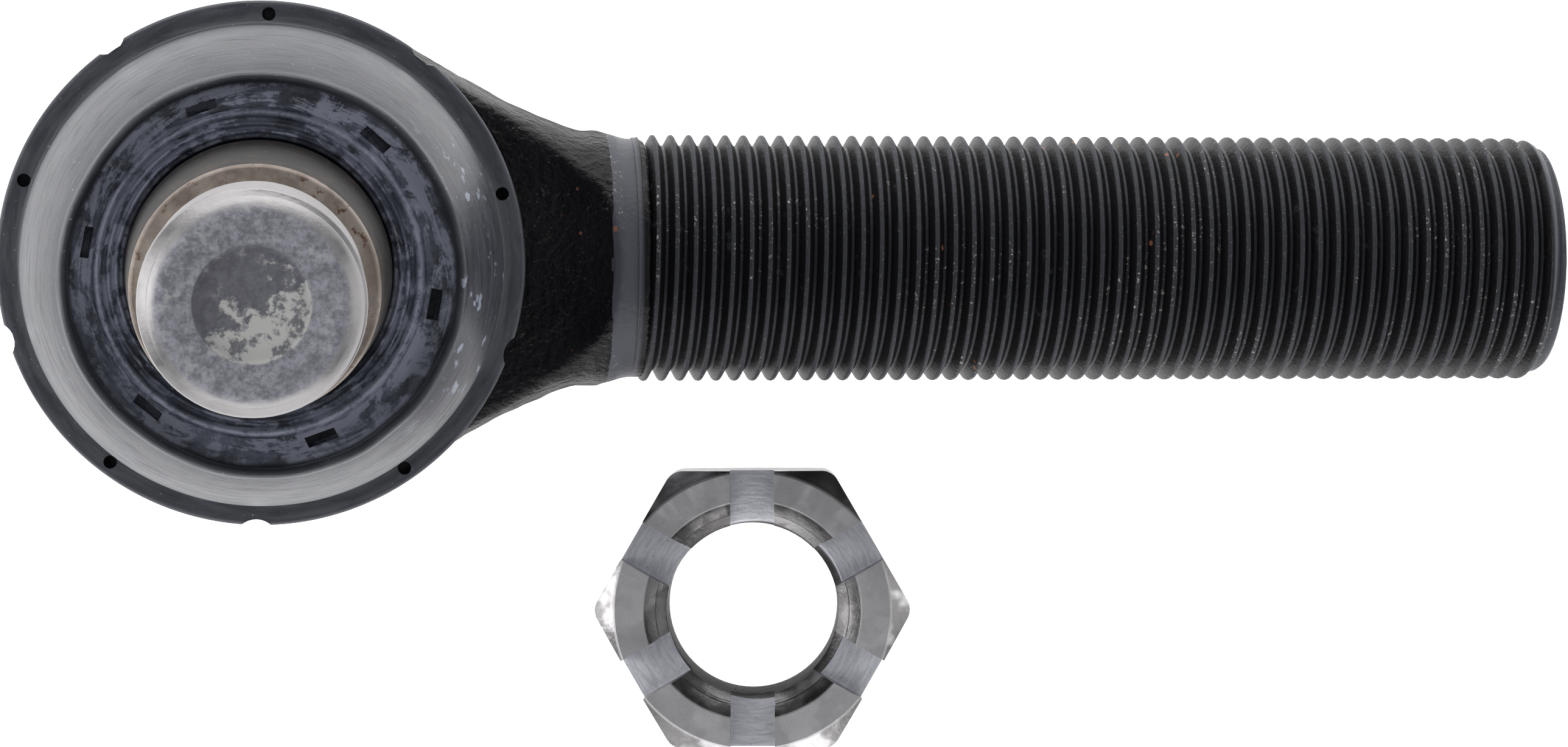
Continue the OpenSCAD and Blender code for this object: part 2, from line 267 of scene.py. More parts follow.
def finished(shell, name, materials, sharp=40, place=None, drawn=None):
    """A finished piece in metres. drawn keeps each point's place before it was bent or leaned."""
    shell.verts.ensure_lookup_table()
    drawn = [co * MM for co in (drawn or [v.co.copy() for v in shell.verts])]
    shell.transform(Matrix.Scale(MM, 4))
    if place:
        shell.transform(place)
    data = bpy.data.meshes.new(name)
    shell.to_mesh(data)
    shell.free()
    upright = data.attributes.new("upright", "FLOAT_VECTOR", "POINT")
    upright.data.foreach_set("vector", [c for co in drawn for c in co])
    for material in materials:
        data.materials.append(material)
    data.shade_smooth()
    data.set_sharp_from_angle(angle=math.radians(sharp))
    obj = bpy.data.objects.new(name, data)
    bpy.context.scene.collection.objects.link(obj)
    return obj


def box_shell(size, centre, turn=0):
    """A block of a given size, turned about Z by an angle in degrees."""
    shell = bmesh.new()
    bmesh.ops.create_cube(shell, size=1)
    shell.transform(Matrix.Rotation(math.radians(turn), 4, "Z") @ Matrix.Translation(centre)
                    @ Matrix.Diagonal((*size, 1)))
    return shell


def rod_shell(radius, length, centre, turn=0, steps=32):
    """An upright rod, turned about Z by an angle in degrees."""
    shell = bmesh.new()
    bmesh.ops.create_cone(shell, cap_ends=True, segments=steps, radius1=radius, radius2=radius,
                          depth=length)
    shell.transform(Matrix.Rotation(math.radians(turn), 4, "Z") @ Matrix.Translation(centre))
    return shell


# ------------------------------------------------------------------ materials

def colour(code):
    """A linear colour from an sRGB hex value."""
    parts = [int(code[i:i + 2], 16) / 255 for i in (0, 2, 4)]
    return (*[c / 12.92 if c <= 0.04045 else ((c + 0.055) / 1.055) ** 2.4 for c in parts], 1)


def feed(node, inputs):
    """Sets a node's inputs, as values or as links from other nodes."""
    for key, value in inputs.items():
        if isinstance(value, bpy.types.Node):
            value = next(output for output in value.outputs if output.enabled)
        if isinstance(value, bpy.types.NodeSocket):
            node.id_data.links.new(value, node.inputs[key])
        else:
            node.inputs[key].default_value = value


def add(tree, kind, inputs=None, **settings):
    """A node with its settings and its inputs. As an input, a node stands for its result."""
    node = tree.nodes.new(kind)
    for key, value in settings.items():
        setattr(node, key, value)
    feed(node, inputs or {})
    return node


def new_material(name, constants=None):
    """A material, its node tree and its shader, with what is the same all over set on the shader."""
    material = bpy.data.materials.new(name)
    material.use_nodes = True
    shader = material.node_tree.nodes["Principled BSDF"]
    feed(shader, constants or {})
    return material, material.node_tree, shader


def from_axis(tree, across, aside):
    """Distance from an axis, from the two coordinates across it."""
    squares = [add(tree, "ShaderNodeMath", {0: part, 1: part}, operation="MULTIPLY")
               for part in (across, aside)]
    total = add(tree, "ShaderNodeMath", {0: squares[0], 1: squares[1]}, operation="ADD")
    return add(tree, "ShaderNodeMath", {0: total}, operation="SQRT")


def round_axis(tree, across, aside, radius, along, stretch_along, stretch_round):
    """A place whose patterns run round an axis: its direction, and its distance along."""
    direction = [add(tree, "ShaderNodeMath", {0: part, 1: radius}, operation="DIVIDE")
                 for part in (across, aside)]
    x, y = [add(tree, "ShaderNodeMath", {0: part, 1: stretch_round * MM}, operation="MULTIPLY")
            for part in direction]
    z = add(tree, "ShaderNodeMath", {0: along, 1: stretch_along}, operation="MULTIPLY")
    return add(tree, "ShaderNodeCombineXYZ", {"X": x, "Y": y, "Z": z})


def painted_forging():
    """Black paint over a shot-blasted forging: satin, pebbled, with dust and a few rust specks."""
    material, tree, shader = new_material("black_painted_forging", {"Specular IOR Level": 0.18})
    place = add(tree, "ShaderNodeTexCoord").outputs["Object"]
    # Shot-blast dimples are about 0.4 mm, drawn at 0.95 mm so that they show; grit under them is real size
    pebble = add(tree, "ShaderNodeTexNoise", {"Vector": place, "Scale": 1 / (0.95 * MM)})
    fine = add(tree, "ShaderNodeTexNoise", {"Vector": place, "Scale": 1 / (0.3 * MM)})
    broad = add(tree, "ShaderNodeTexNoise", {"Vector": place, "Scale": 1 / (9 * MM), "Detail": 3.0})
    dust = add(tree, "ShaderNodeMath", {
        0: add(tree, "ShaderNodeMapRange", {
            "Value": add(tree, "ShaderNodeTexNoise", {
                "Vector": place, "Scale": 1 / (0.5 * MM), "Detail": 4.0}),
            "From Min": 0.6, "From Max": 0.74}, interpolation_type="SMOOTHSTEP"),
        1: add(tree, "ShaderNodeMapRange", {
            "Value": add(tree, "ShaderNodeTexNoise", {
                "Vector": place, "Scale": 1 / (6 * MM), "Detail": 3.0}),
            "From Min": 0.45, "From Max": 0.62}, interpolation_type="SMOOTHSTEP")}, operation="MULTIPLY")
    rust = add(tree, "ShaderNodeMath", {
        0: add(tree, "ShaderNodeMapRange", {
            "Value": add(tree, "ShaderNodeTexVoronoi", {"Vector": place, "Scale": 1 / (2.6 * MM)}),
            "From Min": 0.11, "From Max": 0.06}, interpolation_type="SMOOTHSTEP"),
        1: add(tree, "ShaderNodeMapRange", {
            "Value": add(tree, "ShaderNodeTexNoise", {"Vector": place, "Scale": 1 / (7 * MM)}),
            "From Min": 0.56, "From Max": 0.6}, interpolation_type="SMOOTHSTEP")}, operation="MULTIPLY")
    base = add(tree, "ShaderNodeMix", {
        0: broad, 6: colour("0b0b0d"), 7: colour("17171a")}, data_type="RGBA")
    base = add(tree, "ShaderNodeMix", {
        0: add(tree, "ShaderNodeMath", {0: dust, 1: 0.3}, operation="MULTIPLY"), 6: base,
        7: colour("8a8782")}, data_type="RGBA")
    base = add(tree, "ShaderNodeMix", {
        0: add(tree, "ShaderNodeMath", {0: rust, 1: 0.8}, operation="MULTIPLY"), 6: base,
        7: colour("7a5443")}, data_type="RGBA")
    feed(shader, {"Base Color": base})
    feed(shader, {
        "Roughness": add(tree, "ShaderNodeMapRange", {
            "Value": broad, "From Min": 0.3, "From Max": 0.7, "To Min": 0.36,
            "To Max": 0.5}, interpolation_type="SMOOTHSTEP")})
    bumps = add(tree, "ShaderNodeBump", {"Height": pebble, "Distance": 0.4 * MM})
    bumps = add(tree, "ShaderNodeBump", {"Height": fine, "Distance": 0.08 * MM, "Normal": bumps})
    feed(shader, {"Normal": bumps})
    return material


def painted_thread():
    """Thin black paint on a rolled thread: worn greyer on the crests, with a painted highlight along the
    roots and a painted reflection on the collar.
    """
    material, tree, shader = new_material("black_painted_thread", {"Specular IOR Level": 0.2})
    place = add(tree, "ShaderNodeTexCoord").outputs["Object"]
    x, y, z = add(tree, "ShaderNodeSeparateXYZ", {"Vector": place}).outputs
    radius = from_axis(tree, y, z)
    crest = add(tree, "ShaderNodeMapRange", {
        "Value": radius, "From Min": (SHANK_R - 0.16) * MM,
        "From Max": (SHANK_R - 0.06) * MM}, interpolation_type="SMOOTHSTEP")
    chamfer = add(tree, "ShaderNodeMapRange", {
        "Value": x, "From Min": (SHANK_END - 2.1) * MM,
        "From Max": (SHANK_END - 1.7) * MM}, interpolation_type="SMOOTHSTEP")
    # The collar is painted grey: a painted reflection
    collar_reflection = add(tree, "ShaderNodeMapRange", {
        "Value": x, "From Min": (THREAD_START - 0.3) * MM,
        "From Max": (THREAD_START - 0.9) * MM}, interpolation_type="SMOOTHSTEP")
    root = add(tree, "ShaderNodeMapRange", {
        "Value": radius, "From Min": (SHANK_R - SHANK_DEPTH + 0.07) * MM,
        "From Max": (SHANK_R - SHANK_DEPTH + 0.02) * MM}, interpolation_type="SMOOTHSTEP")
    # Crest wear and paint chips are near their real 1 mm and 1.6 mm; nicks and dust are drawn coarser
    wear = add(tree, "ShaderNodeTexNoise", {
        "Vector": place, "Scale": 1 / (0.9 * MM), "Detail": 4.0, "Roughness": 0.65})
    nicks = add(tree, "ShaderNodeMapRange", {
        "Value": add(tree, "ShaderNodeTexNoise", {
            "Vector": place, "Scale": 1 / (0.25 * MM), "Detail": 3.0, "Roughness": 0.7}),
        "From Min": 0.62, "From Max": 0.72}, interpolation_type="SMOOTHSTEP")
    chips = add(tree, "ShaderNodeMath", {
        0: add(tree, "ShaderNodeMapRange", {
            "Value": add(tree, "ShaderNodeTexNoise", {
                "Vector": place, "Scale": 1 / (1.6 * MM), "Detail": 4.0, "Roughness": 0.65}),
            "From Min": 0.6, "From Max": 0.7}, interpolation_type="SMOOTHSTEP"),
        1: add(tree, "ShaderNodeMapRange", {
            "Value": add(tree, "ShaderNodeTexNoise", {"Vector": place, "Scale": 1 / (14 * MM)}),
            "From Min": 0.42, "From Max": 0.6}, interpolation_type="SMOOTHSTEP")}, operation="MULTIPLY")
    rust = add(tree, "ShaderNodeMath", {
        0: add(tree, "ShaderNodeMapRange", {
            "Value": add(tree, "ShaderNodeTexVoronoi", {"Vector": place, "Scale": 1 / (3.4 * MM)}),
            "From Min": 0.12, "From Max": 0.07}, interpolation_type="SMOOTHSTEP"),
        1: add(tree, "ShaderNodeMapRange", {
            "Value": add(tree, "ShaderNodeTexNoise", {"Vector": place, "Scale": 1 / (9 * MM)}),
            "From Min": 0.6, "From Max": 0.63}, interpolation_type="SMOOTHSTEP")}, operation="MULTIPLY")
    white = add(tree, "ShaderNodeMath", {
        0: add(tree, "ShaderNodeMapRange", {
            "Value": add(tree, "ShaderNodeTexNoise", {
                "Vector": place, "Scale": 1 / (0.5 * MM), "Detail": 4.0, "Roughness": 0.7}),
            "From Min": 0.58, "From Max": 0.66}, interpolation_type="SMOOTHSTEP"),
        1: add(tree, "ShaderNodeMapRange", {
            "Value": add(tree, "ShaderNodeTexNoise", {"Vector": place, "Scale": 1 / (12 * MM)}),
            "From Min": 0.5, "From Max": 0.62}, interpolation_type="SMOOTHSTEP")}, operation="MULTIPLY")
    base = add(tree, "ShaderNodeMix", {
        0: add(tree, "ShaderNodeTexNoise", {"Vector": place, "Scale": 1 / (7 * MM), "Detail": 3.0}),
        6: colour("0b0b0d"), 7: colour("131316")}, data_type="RGBA")
    top = add(tree, "ShaderNodeMix", {0: wear, 6: colour("232428"), 7: colour("3d3e43")}, data_type="RGBA")
    base = add(tree, "ShaderNodeMix", {
        0: add(tree, "ShaderNodeMath", {
            0: crest,
            1: add(tree, "ShaderNodeMath", {
                0: add(tree, "ShaderNodeMath", {0: chamfer, 1: collar_reflection}, operation="MAXIMUM"),
                1: 0.6}, operation="MULTIPLY")}, operation="MAXIMUM"),
        6: base, 7: top}, data_type="RGBA")
    # Grey on the end chamfer, and on the collar as a painted reflection
    base = add(tree, "ShaderNodeMix", {
        0: add(tree, "ShaderNodeMath", {
            0: add(tree, "ShaderNodeMath", {0: chamfer, 1: collar_reflection}, operation="MAXIMUM"),
            1: 0.6}, operation="MULTIPLY"),
        6: base, 7: colour("5e5f66")}, data_type="RGBA")
    # A thin paler line along the thread's roots is a painted highlight
    base = add(tree, "ShaderNodeMix", {
        0: add(tree, "ShaderNodeMath", {0: root, 1: 0.6}, operation="MULTIPLY"), 6: base,
        7: colour("3c3d42")}, data_type="RGBA")
    base = add(tree, "ShaderNodeMix", {
        0: add(tree, "ShaderNodeMath", {0: chips, 1: 0.35}, operation="MULTIPLY"), 6: base,
        7: colour("45464c")}, data_type="RGBA")
    base = add(tree, "ShaderNodeMix", {
        0: add(tree, "ShaderNodeMath", {
            0: add(tree, "ShaderNodeMath", {
                0: white,
                1: add(tree, "ShaderNodeMath", {
                    0: root, 1: crest}, operation="MAXIMUM")}, operation="MULTIPLY"),
            1: 0.8}, operation="MULTIPLY"),
        6: base, 7: colour("b9b4ac")}, data_type="RGBA")
    base = add(tree, "ShaderNodeMix", {
        0: add(tree, "ShaderNodeMath", {
            0: add(tree, "ShaderNodeMath", {0: nicks, 1: crest}, operation="MULTIPLY"),
            1: 0.4}, operation="MULTIPLY"),
        6: base, 7: colour("b5b6ba")}, data_type="RGBA")
    base = add(tree, "ShaderNodeMix", {
        0: add(tree, "ShaderNodeMath", {0: rust, 1: 0.8}, operation="MULTIPLY"), 6: base,
        7: colour("9a6248")}, data_type="RGBA")
    feed(shader, {"Base Color": base})
    feed(shader, {"Roughness": add(tree, "ShaderNodeMix", {0: crest, 2: 0.4, 3: 0.52})})
    bumps = add(tree, "ShaderNodeBump", {
        "Height": add(tree, "ShaderNodeTexNoise", {"Vector": place, "Scale": 1 / (0.3 * MM),
        "Detail": 3.0}),
        "Distance": 0.04 * MM})
    bumps = add(tree, "ShaderNodeBump", {"Height": wear, "Distance": 0.09 * MM, "Normal": bumps})
    feed(shader, {"Normal": bumps})
    return material


def moulded_rubber():
    """Chloroprene rubber out of a polished mould: dark, blue-grey, with a pale dusty bloom."""
    material, tree, shader = new_material("moulded_black_rubber")
    place = add(tree, "ShaderNodeAttribute", attribute_name="upright").outputs["Vector"]
    x, y, z = add(tree, "ShaderNodeSeparateXYZ", {"Vector": place}).outputs
    radius = from_axis(tree, x, y)
    rings = round_axis(
        tree,
        x,
        y,
        radius,
        add(tree, "ShaderNodeMath", {
            0: z,
            1: add(tree, "ShaderNodeMath", {0: radius, 1: -0.8}, operation="MULTIPLY")}, operation="ADD"),
        1.9,
        7.0)
    outside = add(tree, "ShaderNodeMath", {
        0: add(tree, "ShaderNodeMapRange", {
            "Value": radius, "From Min": 20.9 * MM, "From Max": 21.6 * MM},
            interpolation_type="SMOOTHSTEP"),
        1: add(tree, "ShaderNodeMapRange", {
            "Value": z, "From Min": 12.1 * MM, "From Max": 14.5 * MM}, interpolation_type="SMOOTHSTEP")},
            operation="MULTIPLY")
    flange = add(tree, "ShaderNodeMapRange", {
        "Value": z, "From Min": 12.9 * MM, "From Max": 12.1 * MM}, interpolation_type="SMOOTHSTEP")
    face = add(tree, "ShaderNodeMath", {
        0: add(tree, "ShaderNodeMapRange", {
            "Value": radius, "From Min": 20.9 * MM, "From Max": 20.3 * MM},
            interpolation_type="SMOOTHSTEP"),
        1: add(tree, "ShaderNodeMapRange", {
            "Value": z, "From Min": 26 * MM, "From Max": 28 * MM}, interpolation_type="SMOOTHSTEP")},
            operation="MULTIPLY")
    # The mould's turning marks are about 0.1 mm apart, drawn coarser so that they show
    streak = add(tree, "ShaderNodeTexNoise", {
        "Vector": rings, "Scale": 1 / (1.6 * MM), "Detail": 5.0, "Roughness": 0.65, "Distortion": 0.4})
    blotch = add(tree, "ShaderNodeTexNoise", {
        "Vector": place, "Scale": 1 / (5 * MM), "Detail": 5.0, "Roughness": 0.65})
    fine = add(tree, "ShaderNodeTexNoise", {
        "Vector": place, "Scale": 1 / (0.6 * MM), "Detail": 4.0, "Roughness": 0.7})
    base = add(tree, "ShaderNodeMix", {
        0: blotch, 6: colour("24262a"), 7: colour("303238")}, data_type="RGBA")
    base = add(tree, "ShaderNodeMix", {
        0: flange, 6: base,
        7: add(tree, "ShaderNodeMix", {
            0: add(tree, "ShaderNodeMapRange", {
                "Value": streak, "From Min": 0.3, "From Max": 0.75}, interpolation_type="SMOOTHSTEP"),
            6: colour("3c3d43"), 7: colour("515359")}, data_type="RGBA")}, data_type="RGBA")
    film = add(tree, "ShaderNodeMath", {
        0: outside,
        1: add(tree, "ShaderNodeMapRange", {
            "Value": add(tree, "ShaderNodeMath", {
                0: add(tree, "ShaderNodeMath", {0: streak, 1: 0.6}, operation="MULTIPLY"),
                1: add(tree, "ShaderNodeMath", {0: blotch, 1: 0.4}, operation="MULTIPLY")},
                operation="ADD"),
            "From Min": 0.32, "From Max": 0.62, "To Min": 0.2}, interpolation_type="SMOOTHSTEP")},
            operation="MULTIPLY")
    film = add(tree, "ShaderNodeMath", {
        0: film,
        1: add(tree, "ShaderNodeMapRange", {
            "Value": z, "From Min": 13 * MM, "From Max": 22 * MM,
            "To Min": 0.45}, interpolation_type="SMOOTHSTEP")}, operation="MULTIPLY")
    base = add(tree, "ShaderNodeMix", {0: film, 6: base, 7: colour("414249")}, data_type="RGBA")
    patch = add(tree, "ShaderNodeMath", {
        0: add(tree, "ShaderNodeMapRange", {
            "Value": add(tree, "ShaderNodeTexNoise", {
                "Vector": place, "Scale": 1 / (2.4 * MM), "Detail": 3.0, "Roughness": 0.55}),
            "From Min": 0.6, "From Max": 0.66}, interpolation_type="SMOOTHSTEP"),
        1: add(tree, "ShaderNodeMapRange", {
            "Value": x, "From Min": 14 * MM, "From Max": 22 * MM}, interpolation_type="SMOOTHSTEP")},
            operation="MULTIPLY")
    base = add(tree, "ShaderNodeMix", {
        0: add(tree, "ShaderNodeMath", {
            0: add(tree, "ShaderNodeMath", {0: patch, 1: outside}, operation="MULTIPLY"),
            1: 0.6}, operation="MULTIPLY"),
        6: base, 7: colour("a9b0c2")}, data_type="RGBA")
    cloud = add(tree, "ShaderNodeMath", {
        0: add(tree, "ShaderNodeMath", {0: streak, 1: 0.45}, operation="MULTIPLY"),
        1: add(tree, "ShaderNodeMath", {
            0: add(tree, "ShaderNodeMath", {0: blotch, 1: 0.45}, operation="MULTIPLY"),
            1: add(tree, "ShaderNodeMath", {0: fine, 1: 0.15}, operation="MULTIPLY")}, operation="ADD")},
            operation="ADD")
    base = add(tree, "ShaderNodeMix", {
        0: face, 6: base,
        7: add(tree, "ShaderNodeMix", {
            0: add(tree, "ShaderNodeMapRange", {
                "Value": cloud, "From Min": 0.42, "From Max": 0.62}, interpolation_type="SMOOTHSTEP"),
            6: colour("353841"), 7: colour("666b79")}, data_type="RGBA")}, data_type="RGBA")
    smudge = add(tree, "ShaderNodeMath", {
        0: add(tree, "ShaderNodeMath", {
            0: add(tree, "ShaderNodeTexNoise", {
                "Vector": rings, "Scale": 1 / (3.2 * MM), "Detail": 6.0, "Roughness": 0.7,
                "Distortion": 1.2}),
            1: 0.55}, operation="MULTIPLY"),
        1: add(tree, "ShaderNodeMath", {
            0: add(tree, "ShaderNodeTexNoise", {
                "Vector": place, "Scale": 1 / (3.6 * MM), "Detail": 6.0, "Roughness": 0.72,
                "Distortion": 0.6}),
            1: 0.45}, operation="MULTIPLY")}, operation="ADD")
    bloom = add(tree, "ShaderNodeMath", {
        0: add(tree, "ShaderNodeMath", {
            0: face,
            1: add(tree, "ShaderNodeMapRange", {
                "Value": smudge, "From Min": 0.47, "From Max": 0.55}, interpolation_type="SMOOTHSTEP")},
                operation="MULTIPLY"),
        1: add(tree, "ShaderNodeMapRange", {
            "Value": y, "From Min": -10 * MM, "From Max": 16 * MM,
            "To Min": 0.7}, interpolation_type="SMOOTHSTEP")}, operation="MULTIPLY")
    base = add(tree, "ShaderNodeMix", {
        0: add(tree, "ShaderNodeMath", {0: bloom, 1: 0.9}, operation="MULTIPLY"), 6: base,
        7: colour("a9adbe")}, data_type="RGBA")
    # The crest of the raised ridge on the boot's face is painted paler: a painted highlight
    ridge_highlight = add(tree, "ShaderNodeMath", {
        0: add(tree, "ShaderNodeMapRange", {
            "Value": z, "From Min": (FACE_S + 0.45) * MM,
            "From Max": (FACE_S + 0.9) * MM}, interpolation_type="SMOOTHSTEP"),
        1: add(tree, "ShaderNodeMapRange", {
            "Value": radius, "From Min": 18.2 * MM, "From Max": 18.0 * MM},
            interpolation_type="SMOOTHSTEP")}, operation="MULTIPLY")
    base = add(tree, "ShaderNodeMix", {
        0: add(tree, "ShaderNodeMath", {
            0: ridge_highlight,
            1: add(tree, "ShaderNodeMapRange", {
                "Value": fine, "From Min": 0.35, "From Max": 0.6, "To Min": 0.2,
                "To Max": 0.8}, interpolation_type="SMOOTHSTEP")}, operation="MULTIPLY"),
        6: base, 7: colour("8a8f9e")}, data_type="RGBA")
    specks = add(tree, "ShaderNodeMapRange", {
        "Value": add(tree, "ShaderNodeTexNoise", {"Vector": place, "Scale": 1 / (0.35 * MM)}),
        "From Min": 0.7, "From Max": 0.78}, interpolation_type="SMOOTHSTEP")
    base = add(tree, "ShaderNodeMix", {
        0: add(tree, "ShaderNodeMath", {0: specks, 1: 0.6}, operation="MULTIPLY"), 6: base,
        7: colour("a9acb2")}, data_type="RGBA")
    feed(shader, {"Base Color": base})
    feed(shader, {
        "Roughness": add(tree, "ShaderNodeMapRange", {
            "Value": add(tree, "ShaderNodeMath", {
                0: streak,
                1: add(tree, "ShaderNodeMath", {
                    0: outside, 1: -0.12}, operation="MULTIPLY")}, operation="ADD"),
            "From Min": 0.3, "From Max": 0.7, "To Min": 0.34,
            "To Max": 0.6}, interpolation_type="SMOOTHSTEP")})
    bumps = add(tree, "ShaderNodeBump", {"Height": streak, "Distance": 0.06 * MM})
    bumps = add(tree, "ShaderNodeBump", {"Height": blotch, "Distance": 0.1 * MM, "Normal": bumps})
    bumps = add(tree, "ShaderNodeBump", {"Height": fine, "Distance": 0.02 * MM, "Normal": bumps})
    feed(shader, {"Normal": bumps})
    return material


def turned_stud_steel():
    """Turned and rolled steel that has stood about: grey, stained, chalky on the end, tan on the taper."""
    material, tree, shader = new_material("stained_stud_steel", {"Specular IOR Level": 0.2})
    place = add(tree, "ShaderNodeAttribute", attribute_name="upright").outputs["Vector"]
    x, y, z = add(tree, "ShaderNodeSeparateXYZ", {"Vector": place}).outputs
    radius = from_axis(tree, x, y)
    turning = round_axis(tree, x, y, radius, z, 1.0, 1.0)
    # A turning feed of 0.22 mm, and stains of 1 to 3 mm
    lathe = add(tree, "ShaderNodeTexNoise", {"Vector": turning, "Scale": 1 / (0.22 * MM)})
    mottle = add(tree, "ShaderNodeTexNoise", {
        "Vector": place, "Scale": 1 / (3.0 * MM), "Detail": 6.0, "Roughness": 0.62})
    patch = add(tree, "ShaderNodeTexNoise", {
        "Vector": place, "Scale": 1 / (1.3 * MM), "Detail": 5.0, "Roughness": 0.65})
    fine = add(tree, "ShaderNodeTexNoise", {
        "Vector": place, "Scale": 1 / (0.4 * MM), "Detail": 4.0, "Roughness": 0.7})
    end = add(tree, "ShaderNodeMath", {
        0: add(tree, "ShaderNodeMapRange", {
            "Value": z, "From Min": (STUD_REACH - 1.6) * MM,
            "From Max": (STUD_REACH - 0.9) * MM}, interpolation_type="SMOOTHSTEP"),
        1: add(tree, "ShaderNodeMapRange", {
            "Value": radius, "From Min": 9.8 * MM, "From Max": 8.8 * MM},
            interpolation_type="SMOOTHSTEP")}, operation="MULTIPLY")
    taper = add(tree, "ShaderNodeMath", {
        0: add(tree, "ShaderNodeMapRange", {
            "Value": z, "From Min": (TAPER_START - 1) * MM,
            "From Max": (TAPER_START + 3) * MM}, interpolation_type="SMOOTHSTEP"),
        1: add(tree, "ShaderNodeMapRange", {
            "Value": z, "From Min": (TAPER_END - 0.3) * MM,
            "From Max": (TAPER_END - 0.6) * MM}, interpolation_type="SMOOTHSTEP")}, operation="MULTIPLY")
    shoulder = add(tree, "ShaderNodeMath", {
        0: add(tree, "ShaderNodeMapRange", {
            "Value": z, "From Min": (TAPER_END - 0.6) * MM,
            "From Max": (TAPER_END - 0.3) * MM}, interpolation_type="SMOOTHSTEP"),
        1: add(tree, "ShaderNodeMapRange", {
            "Value": z, "From Min": (TAPER_END + 1.5) * MM,
            "From Max": (TAPER_END + 1.2) * MM}, interpolation_type="SMOOTHSTEP")}, operation="MULTIPLY")
    # The taper darkens towards the boot: painted shade
    low = add(tree, "ShaderNodeMapRange", {
        "Value": z, "From Min": (TAPER_END - 4) * MM,
        "From Max": (TAPER_END - 13) * MM}, interpolation_type="SMOOTHSTEP")
    base = add(tree, "ShaderNodeMix", {
        0: mottle, 6: colour("7b797a"), 7: colour("a5a3a3")}, data_type="RGBA")
    dull = add(tree, "ShaderNodeMix", {
        0: add(tree, "ShaderNodeMapRange", {
            "Value": mottle, "From Min": 0.35, "From Max": 0.65}, interpolation_type="SMOOTHSTEP"),
        6: colour("24211f"), 7: colour("35312e")}, data_type="RGBA")
    base = add(tree, "ShaderNodeMix", {0: taper, 6: base, 7: dull}, data_type="RGBA")
    base = add(tree, "ShaderNodeMix", {
        0: add(tree, "ShaderNodeMath", {0: low, 1: 0.85}, operation="MULTIPLY"), 6: base,
        7: colour("141312")}, data_type="RGBA")
    tan = add(tree, "ShaderNodeMix", {
        0: add(tree, "ShaderNodeMapRange", {
            "Value": mottle, "From Min": 0.35, "From Max": 0.65}, interpolation_type="SMOOTHSTEP"),
        6: colour("74685e"), 7: colour("94897f")}, data_type="RGBA")
    base = add(tree, "ShaderNodeMix", {
        0: add(tree, "ShaderNodeMath", {0: shoulder, 1: 0.9}, operation="MULTIPLY"), 6: base,
        7: tan}, data_type="RGBA")
    rust = add(tree, "ShaderNodeMath", {
        0: add(tree, "ShaderNodeMapRange", {
            "Value": patch, "From Min": 0.56, "From Max": 0.64}, interpolation_type="SMOOTHSTEP"),
        1: add(tree, "ShaderNodeMapRange", {
            "Value": mottle, "From Min": 0.42, "From Max": 0.56}, interpolation_type="SMOOTHSTEP")},
            operation="MULTIPLY")
    base = add(tree, "ShaderNodeMix", {
        0: add(tree, "ShaderNodeMath", {
            0: rust,
            1: add(tree, "ShaderNodeMath", {
                0: shoulder,
                1: add(tree, "ShaderNodeMath", {
                    0: taper, 1: 0.5}, operation="MULTIPLY")}, operation="MAXIMUM")}, operation="MULTIPLY"),
        6: base, 7: colour("5d4335")}, data_type="RGBA")
    blotch = add(tree, "ShaderNodeMix", {
        0: add(tree, "ShaderNodeMapRange", {
            "Value": add(tree, "ShaderNodeMath", {
                0: add(tree, "ShaderNodeMath", {0: patch, 1: 0.6}, operation="MULTIPLY"),
                1: add(tree, "ShaderNodeMath", {0: fine, 1: 0.4}, operation="MULTIPLY")}, operation="ADD"),
            "From Min": 0.38, "From Max": 0.62}, interpolation_type="SMOOTHSTEP"),
        6: colour("7a7a81"), 7: colour("a8a8b0")}, data_type="RGBA")
    base = add(tree, "ShaderNodeMix", {0: end, 6: base, 7: blotch}, data_type="RGBA")
    chalk_line = add(tree, "ShaderNodeMath", {
        0: add(tree, "ShaderNodeMath", {
            0: add(tree, "ShaderNodeMath", {0: y, 1: -1.0}, operation="MULTIPLY"),
            1: add(tree, "ShaderNodeMath", {0: x, 1: 0.75}, operation="MULTIPLY")}, operation="ADD"),
        1: add(tree, "ShaderNodeMath", {
            0: add(tree, "ShaderNodeMath", {0: mottle, 1: -0.5}, operation="ADD"),
            1: 0.02}, operation="MULTIPLY")}, operation="ADD")
    recess = add(tree, "ShaderNodeMapRange", {
        "Value": radius, "From Min": 5.95 * MM, "From Max": 5.5 * MM}, interpolation_type="SMOOTHSTEP")
    base = add(tree, "ShaderNodeMix", {
        0: add(tree, "ShaderNodeMath", {
            0: add(tree, "ShaderNodeMath", {0: recess, 1: end}, operation="MULTIPLY"),
            1: 0.7}, operation="MULTIPLY"),
        6: base, 7: colour("606066")}, data_type="RGBA")
    chalk = add(tree, "ShaderNodeMath", {
        0: add(tree, "ShaderNodeMath", {0: recess, 1: end}, operation="MULTIPLY"),
        1: add(tree, "ShaderNodeMapRange", {
            "Value": chalk_line, "From Min": -0.0006, "From Max": 0.0006},
            interpolation_type="SMOOTHSTEP")}, operation="MULTIPLY")
    chalk = add(tree, "ShaderNodeMath", {
        0: chalk,
        1: add(tree, "ShaderNodeMapRange", {
            "Value": patch, "From Min": 0.4, "From Max": 0.52,
            "To Min": 0.15}, interpolation_type="SMOOTHSTEP")}, operation="MULTIPLY")
